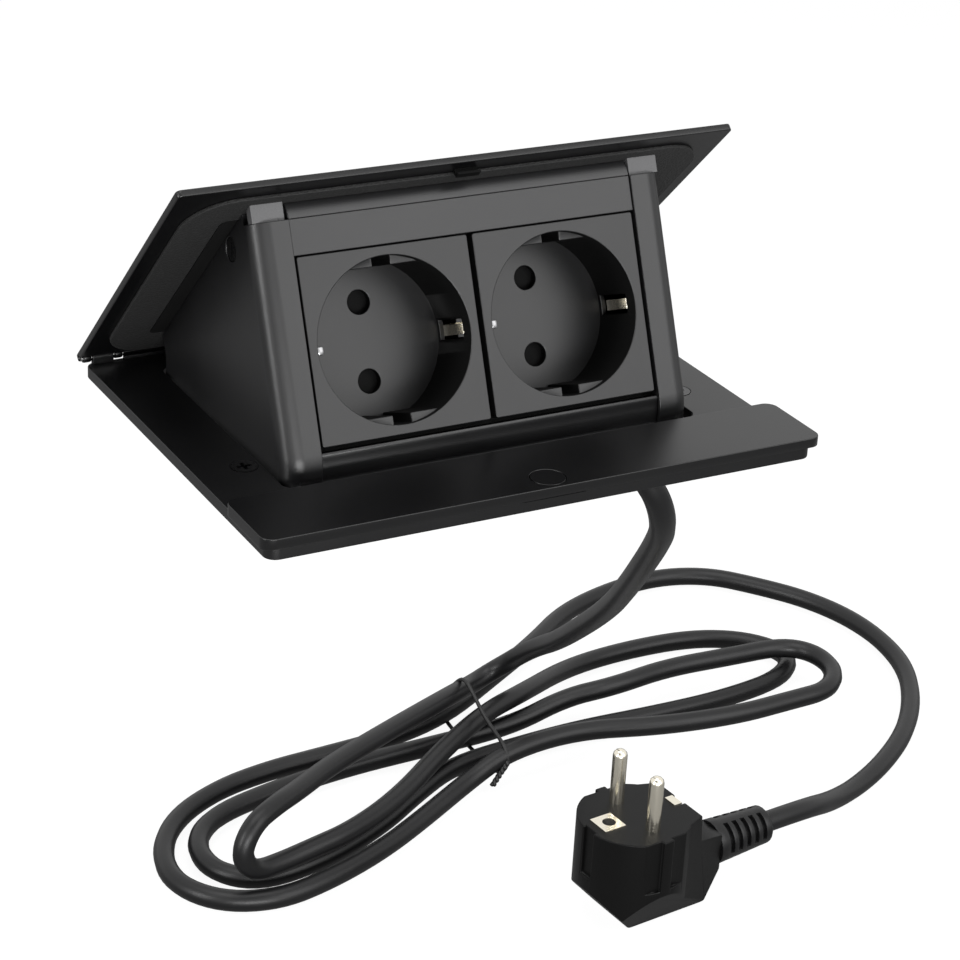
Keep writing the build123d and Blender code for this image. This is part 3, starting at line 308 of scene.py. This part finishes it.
def toe(height):
    """How far the front draws in at a height on the face. Below the flange it comes out again."""
    drawn = toe_curve * max(0.0, toe_top - max(height, heel)) ** 2
    return drawn * min(1.0, max(0.0, (height - toe_end) / (heel - toe_end)))


for node, name in (("cheek_left", "left_cheek"), ("cheek_right", "right_cheek")):
    cheek = eased(node, name, "flip", 0.0002, block_plastic)
    shape = bmesh.new()
    shape.from_mesh(cheek.data)
    for k in range(cut_count):
        cut = face_origin + face_up * (toe_top - cut_pitch * k)
        bmesh.ops.bisect_plane(shape, geom=shape.verts[:] + shape.edges[:] + shape.faces[:], plane_co=cut,
                               plane_no=face_up, dist=cut_gap)
    for vert in shape.verts:
        place = vert.co - face_origin
        share = min(1.0, max(0.0, (place.dot(face_out) + toe_depth) / (toe_depth - skin)))
        vert.co -= face_out * toe(place.dot(face_up)) * share
    shape.to_mesh(cheek.data)
    shape.free()


# Front of the block
# The plain strip over the sockets, the curved band that leads back to the lid
# and the sill under the sockets, all moulded in polycarbonate and held between
# the cheeks, and the two caps on the columns.

def solid_piece(shape, name, body, material, place, ease=0.0):
    """Object from a drawn shape set in place, its sharper edges rounded over."""
    bmesh.ops.remove_doubles(shape, verts=shape.verts, dist=weld_gap)
    bmesh.ops.recalc_face_normals(shape, faces=shape.faces)
    if ease:
        bmesh.ops.bevel(shape, geom=outer_edges(shape, crease), offset=ease, offset_type="OFFSET", segments=2,
                        profile=0.5, affect="EDGES", material=-1, clamp_overlap=True)
    bmesh.ops.transform(shape, matrix=place, verts=shape.verts)
    return finished(shape, name, body, material)


def thicken(shape, faces, reach):
    """Draw flat faces out into a closed solid."""
    grown = bmesh.ops.extrude_face_region(shape, geom=faces)
    moved = [v for v in grown["geom"] if isinstance(v, bmesh.types.BMVert)]
    bmesh.ops.translate(shape, verts=moved, vec=reach)


# Painted light: a touch lighter in colour than the covers, as the strip and the band lie in the light.
strip_painted_light_plastic = moulded("black_polycarbonate_painted_lighter", "#161617", "#1d1d1e", 0.38, 0.00022, 0.00001)
for node, name in (("top_strip", "strip"), ("top_band", "band")):
    piece = eased(node, name, "flip", 0.0002, strip_painted_light_plastic)

# The sill follows the columns' feet. Its own foot stays inside the arc in which the block swings.
sill_half, sill_step, arc_top, arc_slope = 0.0453, 0.0004, -0.0346, 0.6
sill_heights = (-0.0285, -0.0300, -0.0315, -0.0330, -0.0336, -0.0350, -0.0368, -0.0380)
front = [(-0.0270, 0.0), (-0.0278, 0.0)]
front += [(height, -toe(height) - sill_step - arc_slope * max(0.0, arc_top - height))
          for height in sill_heights]
back = [(height, out - skin) for height, out in reversed(front)]
sill_end = face_origin - Vector((sill_half, 0, 0))
shape = bmesh.new()
corners = [shape.verts.new(sill_end + face_up * height + face_out * out) for height, out in front + back]
thicken(shape, [shape.faces.new(corners)], (2 * sill_half, 0, 0))
sill = solid_piece(shape, "sill", "flip", block_plastic, Matrix.Identity(4), 0.0002)
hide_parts("front_sill")

# Coarse and greyer, so that the caps stand out from the columns.
cap_plastic = moulded("rough_black_polycarbonate", "#4c4c4d", "#606061", 0.5, 0.0005, 0.00009)
coat("column_caps", cap_plastic)


# Inside of the block
# Frame, floor, curved rear wall and socket bodies in plain black plastic, with
# the opening spring on its arbor and the screws. Mostly out of sight.

for node in ("support_frame", "bottom_cover", "rear_wall", "socket_body_left", "socket_body_right"):
    coat(node, inner_plastic_and_painted_shade)
coat("side_screws", black_steel)
coat("cover_screws", black_steel)

# Grey drawn wire with a dull glint.
spring_steel = plated("spring_steel_wire", "#8f8f90", 0.3)
coat("spring_arbor", spring_steel)
coat("torsion_spring", spring_steel)


# Sockets
# Two earthed sockets: a square front with a round well, shutters behind the
# pin holes, brass sleeves and sprung earth strips in nickel-plated brass.

# The fine, flat sheen of the fronts and the wells' floors.
cover_plastic = moulded("fine_black_polycarbonate", "#0c0c0d", "#111112", 0.4, 0.00022, 0.00001)

# The walls of each well take the near-black inner plastic as painted shade in the recess, so they are darker
# and duller than its rim and its floor.
rim_depth, wall_slope = 0.0004, 0.3
for node, name in (("socket_cover_left", "left_socket"), ("socket_cover_right", "right_socket")):
    socket = eased(node, name, "flip", 0.00025, cover_plastic)
    # A second, near-black slot: painted shade on the wells' walls.
    socket.data.materials.append(inner_plastic_and_painted_shade)
    for polygon in socket.data.polygons:
        depth = (face_origin - polygon.center).dot(face_out)
        if depth > rim_depth and abs(polygon.normal.dot(face_out)) < wall_slope:
            polygon.material_index = 1

# Warm bright metal, the only light spots in the wells.
nickel = plated("nickel_plated_brass", "#ece6d6", 0.2)
# Yellow metal, seen only when a shutter is open.
brass = plated("turned_brass", "#b89b5e", 0.3)

# Each strip is narrowed by this share of its height, and its small bent tip shows at the well's left.
strip_squeeze = 0.35
tip_size, tip_reach, tip_depth, tip_ease = (0.0017, 0.0016, 0.0020), 0.0189, 0.0016, 0.0004
for side in ("left", "right"):
    # The shutters take the near-black inner plastic, painted shade behind the pin holes.
    coat("shutter_" + side, inner_plastic_and_painted_shade)
    coat("line_contacts_" + side, brass)
    clips = eased("earth_clips_" + side, side + "_earth_strips", "flip", 0.0001, nickel)
    middle = sum((vert.co for vert in clips.data.vertices), Vector()) / len(clips.data.vertices)
    for vert in clips.data.vertices:
        vert.co -= face_up * (vert.co - middle).dot(face_up) * strip_squeeze
    shape = bmesh.new()
    bmesh.ops.create_cube(shape, size=1.0, matrix=Matrix.Diagonal((*tip_size, 1)))
    tip_middle = face_origin + face_up * (middle - face_origin).dot(face_up) - face_out * tip_depth
    tip_middle.x = middle.x - tip_reach
    tip = solid_piece(shape, side + "_earth_tip", "flip", spring_steel,
                      Matrix.Translation(tip_middle) @ Matrix.Rotation(-lean, 4, "X"), tip_ease)


# Latch
# A thin steel slide under the bar, which the button's wedge draws forward, and the small coil that pushes it
# back. The coil is a copy with its own mesh, drawn at one length.

coat("latch_slide", spring_steel)
coil = bpy.data.objects.new("latch_coil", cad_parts["latch_spring"].data.copy())
bpy.context.scene.collection.objects.link(coil)
coil.data.materials.clear()
coil.data.materials.append(spring_steel)
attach(coil, "base")
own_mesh(coil)
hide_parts("latch_spring")


# Cord gland
# A soft rubber sleeve with three rings that grips the cord under the block. It
# is pushed into the block's floor.

def turned(shape, profile, sides, place):
    """Add a closed turned solid about Z from (radius, height) points, low end first."""
    points = [(0.0, profile[0][1])] + profile + [(0.0, profile[-1][1])]
    verts = [shape.verts.new(place @ Vector((radius, 0, height))) for radius, height in points]
    edges = [shape.edges.new(pair) for pair in zip(verts, verts[1:])]
    bmesh.ops.spin(shape, geom=verts + edges, cent=place.translation, axis=(0, 0, 1), dvec=(0, 0, 0),
                   angle=math.tau, steps=sides, use_merge=True, use_duplicate=False)


# Dull rubber with a faint soft sheen on the rings.
soft_rubber = moulded("soft_black_rubber", "#0a0a0a", "#101010", 0.5, 0.0004, 0.00001)

# The gland sits square to the hinge at this reach, turned down a little from the level.
hinge_y, hinge_z = 0.0558, 0.0045
gland_x, gland_reach, gland_turn = 0.0472, 0.076796, math.radians(4.0)
gland_bottom, gland_top = -0.007, 0.002
gland_middle = Vector((gland_x, hinge_y - gland_reach * math.cos(gland_turn),
                       hinge_z - gland_reach * math.sin(gland_turn)))
mouth_radius, neck_radius, ring_count, first_ring, ring_pitch = 0.0036, 0.0043, 3, 0.0003, 0.0023
ring_outline = [(0.0045, 0.0), (0.0051, 0.0004), (0.0051, 0.0013), (0.0044, 0.0017), (neck_radius, 0.0021)]
profile = [(mouth_radius, gland_bottom), (neck_radius, gland_bottom + 0.0001)]
for ring in range(ring_count):
    low = gland_bottom + first_ring + ring * ring_pitch
    profile += [(radius, low + height) for radius, height in ring_outline]
profile += [(neck_radius, gland_top)]
shape = bmesh.new()
turned(shape, profile, 40, Matrix.Identity(4))
gland = solid_piece(shape, "gland", "flip", soft_rubber,
                    Matrix.Translation(gland_middle) @ Matrix.Rotation(gland_turn, 4, "X"))
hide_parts("cable_gland")


# Cord
# Three-core mains lead in a satin black PVC sheath, 7 mm thick. It drops from
# the gland, lies in an open hank of flat loops and runs round to the plug.

cord_radius = 0.0035
cord_out = Vector((0, math.sin(gland_turn), -math.cos(gland_turn)))
cord_exit = gland_middle - cord_out * gland_bottom
plug_turn = math.radians(6.0)
plug_middle = Vector((0.119, 0.0765, -0.190))
plug_out = Vector((math.cos(plug_turn), math.sin(plug_turn), 0))
relief_start, relief_length, relief_drop = 0.0325, 0.023, 0.021
cord_end = plug_middle + plug_out * (relief_start + relief_length) - Vector((0, 0, relief_drop))
first_stop, last_stop = 0.008, 0.019

# The places that the curve is drawn towards, in millimetres. At floor_z the cord lies flat.
floor_z = -222.5
route = [
    (52.0, -21.0, -23.0), (57.5, -16.5, -34.0), (63.5, -4.5, -46.0), (70.5, 11.5, -61.0),
    (82.5, 35.0, -80.0), (104.0, 78.0, -114.0), (131.5, 148.5, -166.0), (140.0, 175.0, -183.5),
    (142.5, 190.5, -195.0), (142.5, 198.5, -202.0), (136.5, 203.5, -208.5), (127.0, 200.5, -210.0),
    (118.5, 194.0, -207.0), (82.0, 173.5, -202.5), (49.5, 154.5, -198.5), (32.0, 142.0, -196.5),
    (20.5, 134.5, -195.0), (10.0, 129.0, -196.5), (5.0, 127.0, -205.5), (10.5, 129.0, -214.5),
    (21.5, 132.0, -215.6), (34.0, 134.5, -215.0), (50.0, 138.0, -214.5), (74.0, 150.5, -214.5),
    (101.0, 171.5, -214.5), (126.5, 187.5, -214.0), (145.5, 195.0, -214.5), (177.5, 217.0, floor_z),
    (205.5, 220.0, floor_z), (234.5, 218.0, floor_z), (253.5, 208.0, floor_z), (262.0, 191.5, floor_z),
    (249.0, 178.0, floor_z), (219.0, 173.5, floor_z), (189.0, 174.0, floor_z), (158.0, 176.0, floor_z),
    (130.0, 174.5, floor_z), (105.0, 172.0, floor_z), (86.0, 161.5, floor_z), (67.0, 149.0, floor_z),
    (42.0, 138.0, floor_z), (16.0, 134.0, floor_z), (3.5, 146.0, floor_z), (4.5, 163.5, floor_z),
    (17.0, 176.0, floor_z), (42.0, 182.5, floor_z), (72.0, 186.5, floor_z), (104.0, 187.0, floor_z),
    (138.0, 188.0, floor_z), (161.5, 190.5, -217.5), (179.0, 186.0, -214.5), (204.0, 190.0, -214.5),
    (231.0, 188.0, -214.5), (253.5, 187.0, -214.5), (262.5, 178.0, -214.5), (262.0, 163.5, -214.5),
    (251.0, 152.0, -214.5), (234.0, 151.5, -214.5), (210.0, 150.5, -214.5), (180.0, 155.0, -214.5),
    (151.0, 164.5, -214.5), (122.0, 163.0, -215.5), (104.0, 160.0, floor_z), (82.0, 147.0, floor_z),
    (60.0, 135.0, floor_z), (37.0, 126.5, floor_z), (17.0, 122.5, floor_z), (-1.0, 129.0, floor_z),
    (-10.5, 145.0, floor_z), (-7.0, 164.0, floor_z), (5.0, 180.0, floor_z), (24.0, 190.5, floor_z),
    (45.0, 195.0, floor_z), (67.0, 196.0, floor_z), (93.0, 197.5, floor_z), (119.0, 204.0, floor_z),
    (147.0, 221.0, floor_z), (175.0, 238.0, floor_z), (199.0, 256.0, floor_z), (225.0, 264.5, floor_z),
    (249.0, 267.0, floor_z), (269.0, 260.0, floor_z), (282.0, 245.0, floor_z), (294.0, 228.0, floor_z),
    (301.0, 208.0, floor_z), (302.0, 187.0, floor_z), (297.0, 165.0, floor_z), (284.0, 144.0, floor_z),
    (267.0, 126.0, floor_z), (247.0, 112.0, floor_z), (229.0, 103.0, floor_z), (212.0, 95.0, -219.5),
]
stops = [cord_exit, cord_exit + cord_out * first_stop]
stops += [Vector(place) / 1000 for place in route]
stops += [cord_end + plug_out * last_stop, cord_end]


def tube(name, points, steps, radius, cyclic=False):
    """Round wire or cord along the smooth run of its control points, and the line it follows."""
    curve = bpy.data.curves.new(name, "CURVE")
    curve.dimensions = "3D"
    curve.resolution_u = steps
    spline = curve.splines.new("NURBS")
    spline.points.add(len(points) - 1)
    for point, place in zip(spline.points, points):
        point.co = (*place, 1.0)
    spline.order_u = 3
    if cyclic:
        spline.use_cyclic_u = True
    else:
        spline.use_endpoint_u = True
    guide = bpy.data.objects.new(name, curve)
    bpy.context.scene.collection.objects.link(guide)
    bpy.context.view_layer.update()
    line = bpy.data.meshes.new_from_object(guide.evaluated_get(bpy.context.evaluated_depsgraph_get()))
    middle = [v.co.copy() for v in line.vertices]
    bpy.data.meshes.remove(line)
    curve.bevel_depth = radius
    curve.bevel_resolution = 4
    curve.use_fill_caps = True
    bpy.context.view_layer.update()
    mesh = bpy.data.meshes.new_from_object(guide.evaluated_get(bpy.context.evaluated_depsgraph_get()))
    bpy.data.objects.remove(guide)
    bpy.data.curves.remove(curve)
    mesh.name = name
    made = bpy.data.objects.new(name, mesh)
    bpy.context.scene.collection.objects.link(made)
    return made, middle


cord, path = tube("mains_cord", stops, 6, cord_radius)

# A soft lengthwise glare with slightly uneven gloss.
sheath = moulded("satin_black_pvc", "#0b0b0c", "#131314", 0.4, 0.0012, 0.00002, 0.36)
cord.data.shade_smooth()
cord.data.materials.append(sheath)
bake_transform(cord)
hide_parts("cord_drop", "cord_hank", "cord_tail")


# Plug
# An angled plug moulded onto the cord in black PVC, with two turned pins, an
# earth plate on its face and a slotted sleeve that lets the cord bend.

# Darker and flatter than the sheath.
plug_pvc = moulded("moulded_black_pvc", "#060606", "#0a0a0a", 0.42, 0.0004, 0.00003, 0.16)
plug = eased("plug_body", "plug", "base", 0.0004, plug_pvc)
plug_frame = Matrix.Translation(plug_middle) @ Matrix.Rotation(plug_turn, 4, "Z")

# The sleeve tapers and has three rows of slots. Its far end is rounded in.
relief_near, relief_far, relief_shoulder, relief_mouth, relief_ease = 0.0076, 0.0064, 0.96, 0.86, 0.00018
slot_count, slot_start, slot_pitch, slot_share, slot_depth = 5, 0.16, 0.155, 0.075, 0.0016
sectors, row_sectors, open_sectors = 24, 8, 6
rings = [(0.0, 1.0)]
for i in range(slot_count):
    rings += [(slot_start + i * slot_pitch, 1.0), (slot_start + i * slot_pitch + slot_share, 1.0)]
rings += [(relief_shoulder, 1.0), (1.0, relief_mouth)]
line = [(0.0, 0.0)]
line += [(share, (relief_near + share * (relief_far - relief_near)) * squeeze) for share, squeeze in rings]
line += [(1.0, 0.0)]
shape = bmesh.new()
verts = [shape.verts.new((relief_start + share * relief_length, radius, -relief_drop))
         for share, radius in line]
edges = [shape.edges.new(pair) for pair in zip(verts, verts[1:])]
bmesh.ops.spin(shape, geom=verts + edges, cent=(0, 0, -relief_drop), axis=(1, 0, 0), dvec=(0, 0, 0),
               angle=math.tau, steps=sectors, use_merge=True, use_duplicate=False)
bmesh.ops.remove_doubles(shape, verts=shape.verts, dist=weld_gap)
bmesh.ops.recalc_face_normals(shape, faces=shape.faces)
slots = []
for face in shape.faces:
    reach, across, up = face.calc_center_median()
    row = ((reach - relief_start) / relief_length - slot_start) / slot_pitch
    sector = int(math.atan2(up + relief_drop, across) % math.tau * sectors / math.tau)
    in_slot = 0 < row < slot_count and row % 1 < slot_share / slot_pitch
    if in_slot and (sector + 1) % row_sectors < open_sectors:
        slots.append(face)
sunk = bmesh.ops.extrude_face_region(shape, geom=slots)
bmesh.ops.delete(shape, geom=slots, context="FACES")
for vert in [v for v in sunk["geom"] if isinstance(v, bmesh.types.BMVert)]:
    vert.co -= Vector((0, vert.co.y, vert.co.z + relief_drop)).normalized() * slot_depth
relief = solid_piece(shape, "plug_sleeve", "base", sheath, plug_frame, relief_ease)
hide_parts("plug_relief")

# The pins are turned, with domed ends.
pin_radius, pin_pitch, pin_root, pin_straight, dome = 0.0024, 0.019, -0.0005, 0.0168, 0.0022
profile = [(pin_radius, pin_root)]
profile += [(pin_radius * math.cos(math.radians(a)), pin_straight + dome * math.sin(math.radians(a)))
            for a in (0, 25, 50, 75)]
shape = bmesh.new()
for across in (-pin_pitch / 2, pin_pitch / 2):
    turned(shape, profile, 32, Matrix.Translation((0, across, 0)))
pins = solid_piece(shape, "plug_pin_pair", "base", nickel, plug_frame)
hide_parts("plug_pins")

# Earth contacts: a pressed plate with a round hole on the face and a small one on the far side.
earth_hole, earth_hole_x, earth_thickness = 0.0022, -0.0102, 0.0004
plate_x, plate_length, plate_width = -0.0106, 0.0080, 0.0084
small_x, small_length, small_width = 0.0157, 0.0030, 0.0052
shape = bmesh.new()
bmesh.ops.create_circle(shape, segments=24, radius=earth_hole,
                        matrix=Matrix.Translation((earth_hole_x, 0, 0)))
bmesh.ops.create_grid(shape, x_segments=1, y_segments=1, size=0.5, matrix=Matrix.Translation((plate_x, 0, 0))
                      @ Matrix.Diagonal((plate_length, plate_width, 1, 1)))
bmesh.ops.delete(shape, geom=shape.faces[:], context="FACES_ONLY")
bmesh.ops.triangle_fill(shape, edges=shape.edges[:], use_beauty=True)
bmesh.ops.create_grid(shape, x_segments=1, y_segments=1, size=0.5, matrix=Matrix.Translation((small_x, 0, 0))
                      @ Matrix.Diagonal((small_length, small_width, 1, 1)))
bmesh.ops.recalc_face_normals(shape, faces=shape.faces)
thicken(shape, shape.faces[:], (0, 0, earth_thickness))
earth = solid_piece(shape, "plug_earth_plates", "base", nickel, plug_frame)
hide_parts("plug_earth_contacts")


# Tie
# Thin black plastic-coated wire drawn round the hank's waist, its two ends
# twisted together beside it.

waist = 0.1205
wire_loop = [(0.2085, -0.2222), (0.2070, -0.2160), (0.1975, -0.2045), (0.1925, -0.2018), (0.1870, -0.2040),
             (0.1760, -0.2098), (0.1640, -0.2118), (0.1592, -0.2155), (0.1602, -0.2205), (0.1660, -0.2262),
             (0.1850, -0.2264), (0.2050, -0.2262)]
tie_radius = 0.0007
twist_y, twist_z, twist_radius, twist_step, twist_points = 0.1592, -0.2170, 0.0005, 1.1, 18
twist_along, twist_back = 0.0004, 0.00012
tie_parts = [tube("tie_wire", [(waist, y, z) for y, z in wire_loop], 4, tie_radius, cyclic=True)[0]]
for start in (0.0, math.pi):
    points = [(waist + twist_radius * math.cos(start + k * twist_step) - twist_along * k,
               twist_y + twist_radius * math.sin(start + k * twist_step) - twist_back * k,
               twist_z - twist_along * k) for k in range(twist_points)]
    tie_parts.append(tube("tie_end", points, 3, tie_radius)[0])
shape = bmesh.new()
for part in tie_parts:
    shape.from_mesh(part.data)
    bpy.data.objects.remove(part)
tie = solid_piece(shape, "tie", "base", soft_rubber, Matrix.Identity(4))
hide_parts("cord_tie")


# Floor and light
# A white laminate studio table under the cord. It shows as pure white and
# keeps a faint shadow, and gives the shiny pieces something pale to mirror.

table_z, table_size = -0.2273, 6.0
ground = bpy.data.meshes.new("studio_floor")
shape = bmesh.new()
bmesh.ops.create_grid(shape, x_segments=1, y_segments=1, size=table_size)
bmesh.ops.translate(shape, verts=shape.verts, vec=(0, 0, table_z))
shape.to_mesh(ground)
shape.free()
floor = bpy.data.objects.new("studio_floor", ground)
bpy.context.scene.collection.objects.link(floor)

# Its glow is seen by the camera, is dim in reflections and lights nothing else.
mirrored, glow_level, glow_share = 0.22, 1.2, 0.78
white = bpy.data.materials.new("white_table")
white.use_nodes = True
tree = white.node_tree
tree.nodes.clear()
ray = add(tree, "ShaderNodeLightPath")
shine = add(tree, "ShaderNodeMath", {0: ray.outputs["Is Glossy Ray"], 1: mirrored}, operation="MULTIPLY")
seen = add(tree, "ShaderNodeMath", {0: ray.outputs["Is Camera Ray"], 1: shine.outputs["Value"]},
           operation="MAXIMUM")
full = add(tree, "ShaderNodeMath", {0: seen.outputs["Value"], 1: glow_level}, operation="MULTIPLY")
glow = add(tree, "ShaderNodeEmission", {"Color": linear("#ffffff"), "Strength": full.outputs["Value"]})
paint = add(tree, "ShaderNodeBsdfDiffuse", {"Color": linear("#e7e7e7")})
both = add(tree, "ShaderNodeMixShader", {0: glow_share, 1: paint.outputs["BSDF"],
                                         2: glow.outputs["Emission"]})
add(tree, "ShaderNodeOutputMaterial", {"Surface": both.outputs["Shader"]})
ground.materials.append(white)

# The room is white to the eye and in reflections, and adds a little even light.
room_level = 0.1
world = bpy.data.worlds.new("studio")
bpy.context.scene.world = world
world.use_nodes = True
tree = world.node_tree
tree.nodes.clear()
ray = add(tree, "ShaderNodeLightPath")
seen = add(tree, "ShaderNodeMath", {0: ray.outputs["Is Camera Ray"], 1: ray.outputs["Is Glossy Ray"]},
           operation="MAXIMUM")
seen = add(tree, "ShaderNodeMath", {0: seen.outputs["Value"], 1: ray.outputs["Is Transmission Ray"]},
           operation="MAXIMUM")
level = add(tree, "ShaderNodeMapRange", {"Value": seen.outputs["Value"], "To Min": room_level, "To Max": 1.0})
sky = add(tree, "ShaderNodeBackground", {"Color": linear("#ffffff"), "Strength": level.outputs["Result"]})
add(tree, "ShaderNodeOutputWorld", {"Surface": sky.outputs["Background"]})


def lamp(name, place, target, size, power):
    """Soft rectangular light that faces a point."""
    data = bpy.data.lights.new(name, "AREA")
    data.shape = "RECTANGLE"
    data.size, data.size_y = size
    data.energy = power
    made = bpy.data.objects.new(name, data)
    bpy.context.scene.collection.objects.link(made)
    made.location = place
    made.rotation_mode = "QUATERNION"
    made.rotation_quaternion = (Vector(target) - Vector(place)).to_track_quat("-Z", "Y")


lamp("key_light", (0.75, -1.15, 0.85), (0.02, 0.0, 0.0), (1.0, 1.4), 12)
lamp("left_strip", (-1.35, -0.12, 0.42), (-0.05, 0.0, 0.02), (0.22, 0.8), 9)
lamp("low_front", (-0.25, -0.95, -0.01), (0.0, 0.0, 0.01), (0.7, 0.25), 9)
lamp("top_light", (-0.1, 0.1, 1.5), (0.05, 0.05, -0.1), (1.2, 1.2), 10)


# Camera
# The photograph's own place and lens, found from the wells and the straight
# edges of the device.

lens = bpy.data.cameras.new("camera")
camera = bpy.data.objects.new("camera", lens)
bpy.context.scene.collection.objects.link(camera)
bpy.context.scene.camera = camera
lens.sensor_width = 36.0
lens.lens = 99.1678
lens.shift_x = 0.01171
lens.shift_y = -0.07362
lens.clip_start = 0.05
lens.clip_end = 30.0
camera_place = Vector((-0.2859346, -0.5213203, 0.2622095))
side = Vector((0.8805407, -0.4714644, 0.0486759))
down = Vector((-0.1501863, -0.3749465, -0.9148001))
ahead = Vector((0.4495466, 0.7982083, -0.4009631))
camera.matrix_world = Matrix.Translation(camera_place) @ Matrix((side, -down, -ahead)).transposed().to_4x4()

bpy.context.scene.view_settings.view_transform = "Standard"
